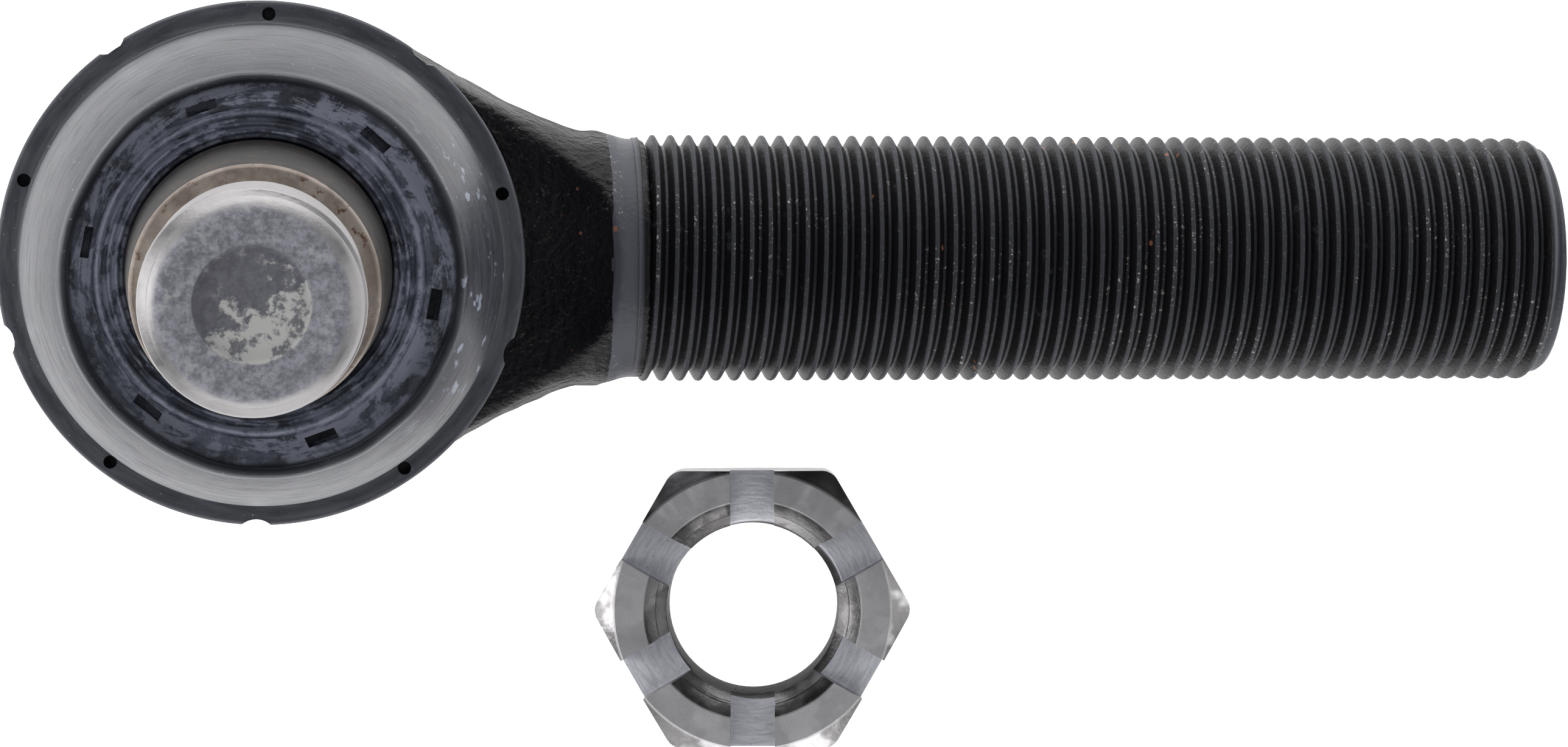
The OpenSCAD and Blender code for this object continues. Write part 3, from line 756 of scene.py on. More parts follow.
    spots = add(tree, "ShaderNodeMath", {
        0: end,
        1: add(tree, "ShaderNodeMapRange", {
            "Value": add(tree, "ShaderNodeMath", {
                0: add(tree, "ShaderNodeMath", {0: mottle, 1: 0.55}, operation="MULTIPLY"),
                1: add(tree, "ShaderNodeMath", {0: patch, 1: 0.45}, operation="MULTIPLY")},
                operation="ADD"),
            "From Min": 0.55, "From Max": 0.64}, interpolation_type="SMOOTHSTEP")}, operation="MULTIPLY")
    pale = add(tree, "ShaderNodeMath", {
        0: chalk,
        1: add(tree, "ShaderNodeMath", {0: spots, 1: 0.55}, operation="MULTIPLY")}, operation="MAXIMUM")
    base = add(tree, "ShaderNodeMix", {0: pale, 6: base, 7: colour("bcbcb8")}, data_type="RGBA")
    feed(shader, {"Base Color": base})
    covered = add(tree, "ShaderNodeMath", {
        0: taper,
        1: add(tree, "ShaderNodeMath", {0: shoulder, 1: 0.7}, operation="MULTIPLY")}, operation="MAXIMUM")
    metal = add(tree, "ShaderNodeMix", {
        0: add(tree, "ShaderNodeMath", {
            0: covered,
            1: add(tree, "ShaderNodeMath", {
                0: pale,
                1: add(tree, "ShaderNodeMath", {
                    0: end, 1: 0.6}, operation="MULTIPLY")}, operation="MAXIMUM")}, operation="MAXIMUM"),
        2: 1.0, 3: 0.0})
    feed(shader, {"Metallic": metal})
    feed(shader, {
        "Roughness": add(tree, "ShaderNodeMix", {
            0: add(tree, "ShaderNodeMath", {
                0: add(tree, "ShaderNodeMath", {0: taper, 1: pale}, operation="MAXIMUM"),
                1: end}, operation="MAXIMUM"),
            2: add(tree, "ShaderNodeMapRange", {
                "Value": mottle, "From Min": 0.3, "From Max": 0.7, "To Min": 0.34,
                "To Max": 0.48}, interpolation_type="SMOOTHSTEP"),
            3: 0.58})})
    bumps = add(tree, "ShaderNodeBump", {"Height": lathe, "Distance": 0.008 * MM})
    bumps = add(tree, "ShaderNodeBump", {"Height": mottle, "Distance": 0.05 * MM, "Normal": bumps})
    bumps = add(tree, "ShaderNodeBump", {"Height": patch, "Distance": 0.03 * MM, "Normal": bumps})
    bumps = add(tree, "ShaderNodeBump", {"Height": fine, "Distance": 0.012 * MM, "Normal": bumps})
    feed(shader, {"Normal": bumps})
    return material


def plain_nut_steel():
    """Cold-formed steel, uncoated and oiled: bright grey crowns, darker smears, milled slot floors painted
    near-white as painted light.
    """
    material, tree, shader = new_material("plain_nut_steel", {"Metallic": 1.0})
    place = add(tree, "ShaderNodeAttribute", attribute_name="upright").outputs["Vector"]
    x, y, z = add(tree, "ShaderNodeSeparateXYZ", {"Vector": place}).outputs
    radius = from_axis(tree, x, y)
    sweep = round_axis(tree, x, y, radius, z, 0.0, 2.0)
    outward = add(tree, "ShaderNodeCombineXYZ", {"Z": radius})
    lines_at = add(tree, "ShaderNodeVectorMath", {0: sweep, 1: outward}, operation="ADD")
    # The milling cutter's lines are about 0.1 mm apart, drawn at 0.35 mm so that they show
    lines = add(tree, "ShaderNodeTexNoise", {
        "Vector": lines_at, "Scale": 1 / (0.35 * MM), "Roughness": 0.6})
    cut = add(tree, "ShaderNodeMapRange", {
        "Value": z, "From Min": (NUT_H - SLOT_DEPTH + 0.25) * MM,
        "From Max": (NUT_H - SLOT_DEPTH + 0.05) * MM}, interpolation_type="SMOOTHSTEP")
    level = add(tree, "ShaderNodeMapRange", {
        "Value": z, "From Min": (NUT_H - SLOT_DEPTH - 0.25) * MM,
        "From Max": (NUT_H - SLOT_DEPTH - 0.05) * MM}, interpolation_type="SMOOTHSTEP")
    floor = add(tree, "ShaderNodeMath", {0: cut, 1: level}, operation="MULTIPLY")
    crown = add(tree, "ShaderNodeMapRange", {
        "Value": z, "From Min": (NUT_H - 0.3) * MM,
        "From Max": (NUT_H - 0.05) * MM}, interpolation_type="SMOOTHSTEP")
    # Forming smears of 3 to 6 mm
    mottle = add(tree, "ShaderNodeTexNoise", {
        "Vector": place, "Scale": 1 / (3.5 * MM), "Detail": 5.0, "Roughness": 0.6})
    fine = add(tree, "ShaderNodeTexNoise", {
        "Vector": place, "Scale": 1 / (0.4 * MM), "Detail": 4.0, "Roughness": 0.7})
    smear = add(tree, "ShaderNodeMath", {
        0: add(tree, "ShaderNodeMapRange", {
            "Value": add(tree, "ShaderNodeTexNoise", {
                "Vector": place, "Scale": 1 / (6 * MM), "Detail": 3.0, "Roughness": 0.55}),
            "From Min": 0.4, "From Max": 0.52}, interpolation_type="SMOOTHSTEP"),
        1: add(tree, "ShaderNodeMix", {0: crown, 2: 1.0, 3: 0.25})}, operation="MULTIPLY")
    base = add(tree, "ShaderNodeMix", {
        0: mottle, 6: colour("b3b1b2"), 7: colour("d6d4d5")}, data_type="RGBA")
    base = add(tree, "ShaderNodeMix", {
        0: add(tree, "ShaderNodeMath", {0: smear, 1: 0.7}, operation="MULTIPLY"), 6: base,
        7: colour("4c4a49")}, data_type="RGBA")
    sides = add(tree, "ShaderNodeMapRange", {
        "Value": z, "From Min": (NUT_H - 2.6) * MM,
        "From Max": (NUT_H - 4.0) * MM}, interpolation_type="SMOOTHSTEP")
    base = add(tree, "ShaderNodeMix", {
        0: add(tree, "ShaderNodeMath", {0: sides, 1: 0.85}, operation="MULTIPLY"), 6: base,
        7: add(tree, "ShaderNodeMix", {
            0: mottle, 6: colour("6d6b6a"), 7: colour("8a8887")}, data_type="RGBA")}, data_type="RGBA")
    sunk = add(tree, "ShaderNodeMath", {
        0: add(tree, "ShaderNodeMapRange", {
            "Value": radius, "From Min": 12.9 * MM, "From Max": 12.6 * MM},
            interpolation_type="SMOOTHSTEP"),
        1: add(tree, "ShaderNodeMapRange", {
            "Value": z, "From Min": (NUT_H - 0.1) * MM,
            "From Max": (NUT_H - 0.3) * MM}, interpolation_type="SMOOTHSTEP")}, operation="MULTIPLY")
    base = add(tree, "ShaderNodeMix", {
        0: add(tree, "ShaderNodeMath", {0: sunk, 1: 0.6}, operation="MULTIPLY"), 6: base,
        7: colour("454343")}, data_type="RGBA")
    # The milled slot floors are painted near-white, brighter than the crown: painted light where the slot
    # walls shade them
    base = add(tree, "ShaderNodeMix", {
        0: floor, 6: base,
        7: add(tree, "ShaderNodeMix", {
            0: add(tree, "ShaderNodeMapRange", {
                "Value": lines, "From Min": 0.35, "From Max": 0.65}, interpolation_type="SMOOTHSTEP"),
            6: colour("e2e3ea"), 7: colour("f6f6fb")}, data_type="RGBA")}, data_type="RGBA")
    pits = add(tree, "ShaderNodeMapRange", {
        "Value": add(tree, "ShaderNodeTexNoise", {
            "Vector": place, "Scale": 1 / (0.3 * MM), "Detail": 3.0, "Roughness": 0.7}),
        "From Min": 0.63, "From Max": 0.72}, interpolation_type="SMOOTHSTEP")
    base = add(tree, "ShaderNodeMix", {
        0: add(tree, "ShaderNodeMath", {0: pits, 1: 0.6}, operation="MULTIPLY"), 6: base,
        7: colour("4d4a48")}, data_type="RGBA")
    feed(shader, {"Base Color": base})
    feed(shader, {
        "Roughness": add(tree, "ShaderNodeMix", {
            0: add(tree, "ShaderNodeMath", {0: floor, 1: crown}, operation="MAXIMUM"),
            2: add(tree, "ShaderNodeMapRange", {
                "Value": mottle, "From Min": 0.3, "From Max": 0.7, "To Min": 0.26,
                "To Max": 0.4}, interpolation_type="SMOOTHSTEP"),
            3: 0.58})})
    bumps = add(tree, "ShaderNodeBump", {"Height": fine, "Distance": 0.03 * MM})
    bumps = add(tree, "ShaderNodeBump", {"Height": mottle, "Distance": 0.08 * MM, "Normal": bumps})
    bumps = add(tree, "ShaderNodeBump", {
        "Height": add(tree, "ShaderNodeMath", {0: lines, 1: floor}, operation="MULTIPLY"),
        "Distance": 0.03 * MM, "Normal": bumps})
    feed(shader, {"Normal": bumps})
    return material


def bearing_resin():
    """Glass-filled acetal, moulded: ivory, faintly cloudy, greased."""
    material, tree, shader = new_material("moulded_acetal_bearing")
    place = add(tree, "ShaderNodeTexCoord").outputs["Object"]
    # Moulding flow and grease clouds are 6 to 8 mm; the fine skin is drawn coarser than real
    base = add(tree, "ShaderNodeMix", {
        0: add(tree, "ShaderNodeTexNoise", {"Vector": place, "Scale": 1 / (6 * MM), "Detail": 3.0}),
        6: colour("b9b29a"), 7: colour("cfc9b4")}, data_type="RGBA")
    grease = add(tree, "ShaderNodeMapRange", {
        "Value": add(tree, "ShaderNodeTexNoise", {
            "Vector": place, "Scale": 1 / (8 * MM), "Detail": 4.0, "Roughness": 0.6}),
        "From Min": 0.48, "From Max": 0.64}, interpolation_type="SMOOTHSTEP")
    feed(shader, {
        "Base Color": add(tree, "ShaderNodeMix", {
            0: add(tree, "ShaderNodeMath", {0: grease, 1: 0.5}, operation="MULTIPLY"), 6: base,
            7: colour("8a7a4c")}, data_type="RGBA")})
    feed(shader, {"Roughness": add(tree, "ShaderNodeMix", {0: grease, 2: 0.42, 3: 0.18})})
    bumps = add(tree, "ShaderNodeBump", {
        "Height": add(tree, "ShaderNodeTexNoise", {"Vector": place, "Scale": 1 / (0.6 * MM),
        "Detail": 3.0}),
        "Distance": 0.02 * MM})
    feed(shader, {"Normal": bumps})
    return material


def oiled_spring_steel():
    """Hardened spring steel, blued by its heat treatment and oiled."""
    material, tree, shader = new_material("oiled_spring_steel", {"Metallic": 1.0})
    place = add(tree, "ShaderNodeTexCoord").outputs["Object"]
    # Heat tint and oil film clouds of 2.5 to 5 mm
    base = add(tree, "ShaderNodeMix", {
        0: add(tree, "ShaderNodeTexNoise", {"Vector": place, "Scale": 1 / (5 * MM), "Detail": 4.0}),
        6: colour("3c4048"), 7: colour("5b5f66")}, data_type="RGBA")
    feed(shader, {
        "Base Color": add(tree, "ShaderNodeMix", {
            0: add(tree, "ShaderNodeMath", {
                0: add(tree, "ShaderNodeMapRange", {
                    "Value": add(tree, "ShaderNodeTexNoise", {
                        "Vector": place, "Scale": 1 / (2.5 * MM), "Detail": 3.0}),
                    "From Min": 0.55, "From Max": 0.7}, interpolation_type="SMOOTHSTEP"),
                1: 0.4}, operation="MULTIPLY"),
            6: base, 7: colour("6d6250")}, data_type="RGBA")})
    feed(shader, {
        "Roughness": add(tree, "ShaderNodeMapRange", {
            "Value": add(tree, "ShaderNodeTexNoise", {
                "Vector": place, "Scale": 1 / (3 * MM), "Detail": 3.0}),
            "From Min": 0.3, "From Max": 0.7, "To Min": 0.22,
            "To Max": 0.42}, interpolation_type="SMOOTHSTEP")})
    bumps = add(tree, "ShaderNodeBump", {
        "Height": add(tree, "ShaderNodeTexNoise", {"Vector": place, "Scale": 1 / (0.5 * MM),
        "Detail": 3.0}),
        "Distance": 0.015 * MM})
    feed(shader, {"Normal": bumps})
    return material


def painted_cover_steel():
    """Pressed steel cover under black paint: smoother than the forging, scuffed down to grey."""
    material, tree, shader = new_material("black_painted_pressing")
    place = add(tree, "ShaderNodeTexCoord").outputs["Object"]
    # Scuffs of about 1 mm gathered in patches of 8 mm
    scuff = add(tree, "ShaderNodeMath", {
        0: add(tree, "ShaderNodeMapRange", {
            "Value": add(tree, "ShaderNodeTexNoise", {
                "Vector": place, "Scale": 1 / (1.2 * MM), "Detail": 5.0, "Roughness": 0.7}),
            "From Min": 0.58, "From Max": 0.7}, interpolation_type="SMOOTHSTEP"),
        1: add(tree, "ShaderNodeMapRange", {
            "Value": add(tree, "ShaderNodeTexNoise", {"Vector": place, "Scale": 1 / (8 * MM)}),
            "From Min": 0.5, "From Max": 0.62}, interpolation_type="SMOOTHSTEP")}, operation="MULTIPLY")
    base = add(tree, "ShaderNodeMix", {
        0: add(tree, "ShaderNodeTexNoise", {"Vector": place, "Scale": 1 / (7 * MM), "Detail": 3.0}),
        6: colour("141518"), 7: colour("202226")}, data_type="RGBA")
    feed(shader, {
        "Base Color": add(tree, "ShaderNodeMix", {
            0: add(tree, "ShaderNodeMath", {0: scuff, 1: 0.55}, operation="MULTIPLY"), 6: base,
            7: colour("6b6b6d")}, data_type="RGBA")})
    feed(shader, {
        "Roughness": add(tree, "ShaderNodeMapRange", {
            "Value": add(tree, "ShaderNodeTexNoise", {
                "Vector": place, "Scale": 1 / (4 * MM), "Detail": 3.0}),
            "From Min": 0.3, "From Max": 0.7, "To Min": 0.3,
            "To Max": 0.46}, interpolation_type="SMOOTHSTEP")})
    bumps = add(tree, "ShaderNodeBump", {
        "Height": add(tree, "ShaderNodeTexNoise", {"Vector": place, "Scale": 1 / (1.6 * MM),
        "Detail": 3.0}),
        "Distance": 0.05 * MM})
    bumps = add(tree, "ShaderNodeBump", {
        "Height": add(tree, "ShaderNodeTexNoise", {"Vector": place, "Scale": 1 / (0.4 * MM)}),
        "Distance": 0.02 * MM, "Normal": bumps})
    feed(shader, {"Normal": bumps})
    return material


def yellow_zinc():
    """Zinc plate with yellow chromate: iridescent straw and olive over a turned hexagon."""
    material, tree, shader = new_material("yellow_zinc_plate", {"Metallic": 1.0})
    place = add(tree, "ShaderNodeTexCoord").outputs["Object"]
    # Chromate shifts colour over 1.5 to 2.5 mm
    base = add(tree, "ShaderNodeMix", {
        0: add(tree, "ShaderNodeMapRange", {
            "Value": add(tree, "ShaderNodeTexNoise", {
                "Vector": place, "Scale": 1 / (2.4 * MM), "Detail": 3.0}),
            "From Min": 0.35, "From Max": 0.65}, interpolation_type="SMOOTHSTEP"),
        6: colour("a89a62"), 7: colour("c2b48a")}, data_type="RGBA")
    feed(shader, {
        "Base Color": add(tree, "ShaderNodeMix", {
            0: add(tree, "ShaderNodeMath", {
                0: add(tree, "ShaderNodeMapRange", {
                    "Value": add(tree, "ShaderNodeTexNoise", {
                        "Vector": place, "Scale": 1 / (1.4 * MM), "Detail": 4.0}),
                    "From Min": 0.55, "From Max": 0.7}, interpolation_type="SMOOTHSTEP"),
                1: 0.5}, operation="MULTIPLY"),
            6: base, 7: colour("7e7a58")}, data_type="RGBA")})
    feed(shader, {
        "Roughness": add(tree, "ShaderNodeMapRange", {
            "Value": add(tree, "ShaderNodeTexNoise", {
                "Vector": place, "Scale": 1 / (1.5 * MM), "Detail": 3.0}),
            "From Min": 0.3, "From Max": 0.7, "To Min": 0.22,
            "To Max": 0.42}, interpolation_type="SMOOTHSTEP")})
    bumps = add(tree, "ShaderNodeBump", {
        "Height": add(tree, "ShaderNodeTexNoise", {
            "Vector": place, "Scale": 1 / (0.25 * MM), "Detail": 3.0}),
        "Distance": 0.008 * MM})
    feed(shader, {"Normal": bumps})
    return material


def polished_ball_steel():
    """A ground and polished bearing ball, with a haze of grease."""
    material, tree, shader = new_material("polished_ball_steel", {"Metallic": 1.0})
    place = add(tree, "ShaderNodeTexCoord").outputs["Object"]
    # Grease haze of 0.8 mm on a 2.6 mm ball
    haze = add(tree, "ShaderNodeMapRange", {
        "Value": add(tree, "ShaderNodeTexNoise", {"Vector": place, "Scale": 1 / (0.8 * MM), "Detail": 3.0}),
        "From Min": 0.45, "From Max": 0.65}, interpolation_type="SMOOTHSTEP")
    feed(shader, {
        "Base Color": add(tree, "ShaderNodeMix", {
            0: haze, 6: colour("c9cbce"), 7: colour("a9a89f")}, data_type="RGBA")})
    feed(shader, {"Roughness": add(tree, "ShaderNodeMix", {0: haze, 2: 0.1, 3: 0.28})})
    return material


def phosphated_insert():
    """Phosphated steel stamping for bonding to rubber: dark grey and crystalline."""
    material, tree, shader = new_material("phosphated_steel", {"Metallic": 0.6})
    place = add(tree, "ShaderNodeTexCoord").outputs["Object"]
    # Phosphate crystals are about 0.02 mm, drawn at 0.3 to 0.8 mm so that they show
    feed(shader, {
        "Base Color": add(tree, "ShaderNodeMix", {
            0: add(tree, "ShaderNodeTexNoise", {
                "Vector": place, "Scale": 1 / (0.6 * MM), "Detail": 4.0, "Roughness": 0.7}),
            6: colour("3b3d40"), 7: colour("5c5e61")}, data_type="RGBA")})
    feed(shader, {
        "Roughness": add(tree, "ShaderNodeMapRange", {
            "Value": add(tree, "ShaderNodeTexNoise", {
                "Vector": place, "Scale": 1 / (0.8 * MM), "Detail": 3.0}),
            "From Min": 0.3, "From Max": 0.7, "To Min": 0.5,
            "To Max": 0.7}, interpolation_type="SMOOTHSTEP")})
    bumps = add(tree, "ShaderNodeBump", {
        "Height": add(tree, "ShaderNodeTexNoise", {"Vector": place, "Scale": 1 / (0.3 * MM),
        "Detail": 3.0}),
        "Distance": 0.015 * MM})
    feed(shader, {"Normal": bumps})
    return material


def pale_ground():
    """A white matt table with its own faint glow, so that it stays even."""
    material, tree, shader = new_material("white_table", {
        "Roughness": 0.9, "Emission Color": colour("ffffff"), "Emission Strength": 1.0})
    place = add(tree, "ShaderNodeTexCoord").outputs["Object"]
    # Faint clouds of 40 mm keep the white from being dead flat
    feed(shader, {
        "Base Color": add(tree, "ShaderNodeMix", {
            0: add(tree, "ShaderNodeTexNoise", {"Vector": place, "Scale": 1 / (40 * MM)}),
            6: colour("f2f2f2"), 7: colour("f7f7f7")}, data_type="RGBA")})
    return material


# --------------------------------------------------------------------- pieces

def neck_radius(x):
    """Radius of the forged neck at a place along the shank."""
    return SHANK_R + 0.3 + NECK_GAIN * max(NECK_END - x, 0) ** NECK_POWER


def forged_blank():
    """The forging before machining: socket, neck and the dished web between, blended into one skin."""
    socket = working(turned(
        [(0, BASE_Z), (BORE_R + 1.6, BASE_Z)]
        + arc((SOCKET_R - 6, BASE_Z + 6), 6, -68, 0, 8)
        + [(SOCKET_R, -6), (SOCKET_R, 0)]
        + arc((SOCKET_R - 4, SHOULDER_Z - 4), 4, 0, 78, 8)
        + [(22, SHOULDER_Z), (0, SHOULDER_Z)], 96))
    profile = [(0, NECK_START)]
    profile += [(neck_radius(NECK_START + i), NECK_START + i) for i in range(23)]
    profile += curve([(SHANK_R + 0.42, NECK_END + 1.6), (SHANK_R + 0.2, NECK_END + 3.4),
                      (SHANK_R - 0.5, NECK_END + 5.8), (SHANK_R - 0.25, NECK_END + 7.6)], 3)
    profile += [(0, NECK_END + 7.6)]
    neck = turned(profile, 96)
    neck.transform(Matrix.Rotation(math.radians(90), 4, "Y"))
    neck = working(neck)
    dish_r = SOCKET_R + 0.5
    dish = working(turned(
        [(0, BOSS_Z), (BOSS_R - 1, BOSS_Z), (BOSS_R - 1, SHOULDER_Z)]
        + arc((dish_r, SHOULDER_Z + DISH_ARC_R), DISH_ARC_R, -90, -12, 16)
        + [(dish_r + 16, 40), (0, 40)], 128))
    combine(neck, dish, "DIFFERENCE")
    under = working(box_shell((80, 80, 20), (40, 0, BASE_Z + 3 - 10)))
    combine(neck, under, "DIFFERENCE")
    combine(socket, neck, "UNION")
    skin = socket.modifiers.new("skin", "REMESH")
    skin.mode = "VOXEL"
    skin.voxel_size = 0.5
    settle(socket)
    return as_shell(socket)


def roughen(shell):
    """Softens the forging's creases, raises its parting line and pebbles its skin."""
    for _ in range(4):
        bmesh.ops.smooth_vert(shell, verts=shell.verts, factor=0.5, use_axis_x=True,
                              use_axis_y=True, use_axis_z=True)
    valley = [v for v in shell.verts if 17 < v.co.x < 33 and v.co.z < SHOULDER_Z + 3]
    for _ in range(16):
        bmesh.ops.smooth_vert(shell, verts=valley, factor=0.5, use_axis_x=True,
                              use_axis_y=True, use_axis_z=True)
    shell.normal_update()
    for v in shell.verts:
        forged = 1 - smooth_step(v.co.x, NECK_END + 2.2, NECK_END + 3.4)
        side = abs(v.normal.z) < 0.6
        lump = 0.22 * noise.noise(v.co / 7) + 0.09 * noise.noise(v.co / 2.4 + Vector((9, 0, 0)))
        pebble = 0.06 * noise.noise(v.co / 1.2 + Vector((0, 7, 0)))
        seam = 0.22 * math.exp(-((v.co.z - 0.6 * noise.noise(v.co / 12)) / 1.1) ** 2) if side else 0
        v.co += v.normal * forged * (lump + pebble + seam)
    return shell


def socket_housing(paint, thread_paint):
    """The forging with its bored socket, rolled lip and left-hand threaded shank."""
    body = working(roughen(forged_blank()))
    boss = working(turned(
        [(0, 0), (BOSS_R, 0), (BOSS_R, BOSS_Z - 0.8)]
        + arc((BOSS_R - 0.8, BOSS_Z - 0.8), 0.8, 15, 90, 4) + [(0, BOSS_Z)], 128))
    combine(body, boss, "UNION")
    bore = working(turned([
        (0, BASE_Z - 5), (BORE_R - 0.2, BASE_Z - 5), (BORE_R - 0.8, BASE_Z + 0.4),
        (BORE_R - 0.8, COVER_BOTTOM - 0.02), (COVER_R, COVER_BOTTOM - 0.02), (COVER_R, COVER_TOP),
        (BORE_R, COVER_TOP), (BORE_R, 5.8), (MOUTH_R, BEARING_TOP + 0.6), (MOUTH_R + 1, BOSS_Z + 0.1),
        (MOUTH_R + 1, BOSS_Z + 5), (0, BOSS_Z + 5)], 96))
    combine(body, bore, "DIFFERENCE")
    chamfer_start = SHANK_END - END_CHAMFER
    chamfer_drop = END_CHAMFER * 0.55

    def limit(height, radius):
        worn = min(max((height - chamfer_start) / END_CHAMFER, 0), 1)
        cone = SHANK_R - chamfer_drop * worn ** 1.3 if worn else 99
        run_in = SHANK_R - 0.3 if height < THREAD_START - 0.3 else 99
        return min(radius, cone, run_in) if height < THREAD_START else min(radius, cone)

    face_r = SHANK_R - chamfer_drop
    shank = thread(
        SHANK_R, SHANK_DEPTH, SHANK_PITCH, THREAD_START - 1.1, SHANK_END - 0.25, -1, limit,
        [(SHANK_R - 0.6, THREAD_START - 1.2), (SHANK_R - 2, THREAD_START - 1.8), (11, THREAD_START - 5)],
        [(face_r - 0.25, SHANK_END - 0.06), (face_r - 0.7, SHANK_END), (4, SHANK_END - 0.05),
         (3.2, SHANK_END - 0.4), (0.6, SHANK_END - 2.6)])
    shank.transform(Matrix.Rotation(math.radians(90), 4, "Y"))
    for face in shank.faces:
        face.material_index = 1
    combine(body, working(shank), "UNION")
    shell = as_shell(body)
    for face in shell.faces:
        face.material_index = 1 if face.calc_center_median().x > NECK_END + 3.2 else 0
    piece = finished(shell, "forged_socket_and_shank", [paint, thread_paint], sharp=50)
    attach(piece, "housing")
    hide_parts("socket_housing")
    return piece


def ball_stud(steel):
    """The stud: truncated ball, neck, boot seat, taper, rolled thread and recessed end."""
    flat_angle = math.degrees(math.asin(-BALL_FLAT / BALL_R))
    neck_angle = math.degrees(math.acos(STUD_NECK_R / BALL_R))
    root = STUD_THREAD_R - 1.15
    body = working(turned(
        [(0, -BALL_FLAT)] + arc((0, 0), BALL_R, flat_angle, neck_angle, 40)
        + [(STUD_NECK_R, 16)]
        + curve([(STUD_NECK_R, 18.6), (STUD_NECK_R + 0.5, 20.4), (13.2, 22.9), (TAPER_R, 24.6)], 5)
        + [(TAPER_R, TAPER_START), (TAPER_SMALL_R + 0.25, TAPER_END - 0.4)]
        + arc((TAPER_SMALL_R - 0.3, TAPER_END - 0.4), 0.5, 10, 80, 3)
        + [(root + 0.5, TAPER_END + 0.4), (root, TAPER_END + 0.9), (root - 0.3, TAPER_END + 3),
           (0, TAPER_END + 3)], 128))
    face_r = 8.9
    edge_top = STUD_REACH - 2.4

    def limit(height, radius):
        if height > edge_top:
            t = (height - edge_top) / (STUD_REACH - edge_top)
            return min(radius, STUD_THREAD_R - 0.1 - (STUD_THREAD_R - 0.1 - face_r) * t ** 2.2)
        return radius

    rolled = working(thread(
        STUD_THREAD_R, 1.1, STUD_PITCH, TAPER_END + 1.9, STUD_REACH - 0.35, 1, limit,
        [(root - 0.1, TAPER_END + 1.3), (6, TAPER_END + 1.2)],
        [(face_r + 0.1, STUD_REACH - 0.06), (face_r - 0.4, STUD_REACH), (6.75, STUD_REACH - 0.02),
         (6.55, STUD_REACH - 0.12), (6.1, STUD_REACH - 0.05), (5.75, STUD_REACH - 0.1),
         (5.55, STUD_REACH - 0.75), (5.2, STUD_REACH - 0.9)], steps=72))
    combine(body, rolled, "UNION")
    hole = rod_shell(CROSS_HOLE_R, 40, (0, 0, 0), steps=40)
    hole.transform(Matrix.Translation((0, 0, CROSS_HOLE_S)) @ Matrix.Rotation(math.radians(90), 4, "Y"))
    combine(body, working(hole), "DIFFERENCE")
    lean = Vector((0, 0, 1)).rotation_difference(STUD_AXIS).to_matrix().to_4x4()
    piece = finished(as_shell(body), "tapered_ball_stud", [steel], sharp=38, place=lean)
    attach(piece, "stud")
    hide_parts("ball_stud")
    return piece


def boot_outline():
    """Half section of the boot: up the outside, over the rim, across the face and down inside."""
    outside = [(BOSS_R + 0.15, SHOULDER_Z + 0.3), (FLANGE_R - 0.7, SHOULDER_Z + 0.3)]
    outside += arc((FLANGE_R - 0.6, SHOULDER_Z + 0.9), 0.6, -80, 0, 4)
    outside += arc((FLANGE_R - 0.45, FLANGE_TOP - 0.45), 0.45, 0, 90, 4)
    outside += [(27.9, FLANGE_TOP), (27.2, FLANGE_TOP - 0.02)]
    outside += curve([(26.85, FLANGE_TOP + 0.15), (26.6, FLANGE_TOP + 0.9), (26.75, 15.2), (26.5, 18.5),
                      (25.6, 22.6), (24.35, 26.6), (22.9, 30.2), (22.0, 32.0)], 5)
    outside += arc((RIM_R - 0.1, RIM_TOP - 0.55), 0.55, 20, 165, 7)
    face = [(20.75, 32.0), (20.9, 31.2), (20.95, 30.6), (20.6, FACE_S - 0.05), (20.1, FACE_S - 0.12),
            (19.4, FACE_S - 0.1), (18.6, FACE_S)]
    ridges = curve([(17.95, FACE_S + 0.1), (17.6, FACE_S + 0.75), (17.2, FACE_S + 0.95),
                    (16.85, FACE_S + 0.45), (16.7, FACE_S - 0.05), (16.4, FACE_S - 0.1),
                    (16.15, FACE_S + 0.25), (15.9, FACE_S + 0.1), (15.75, FACE_S - 0.35),
                    (15.5, FACE_S - 0.4), (15.25, FACE_S - 0.1), (15.05, FACE_S - 0.3),
                    (14.9, FACE_S - 0.7), (14.6, FACE_S - 0.9), (14.42, FACE_S - 1.5)], 3)
    inside = [(14.4, 26.5), (14.55, 25.7), (15.2, 25.4)]
    inside += curve([(18.2, 25.5), (20.4, 25.2), (22.6, 23.2), (24.0, 19.5), (24.55, 15.5),
                     (24.6, FLANGE_TOP + 0.4), (BOSS_R + 0.15, FLANGE_TOP - 0.6)], 4)
    return outside + face + ridges + inside


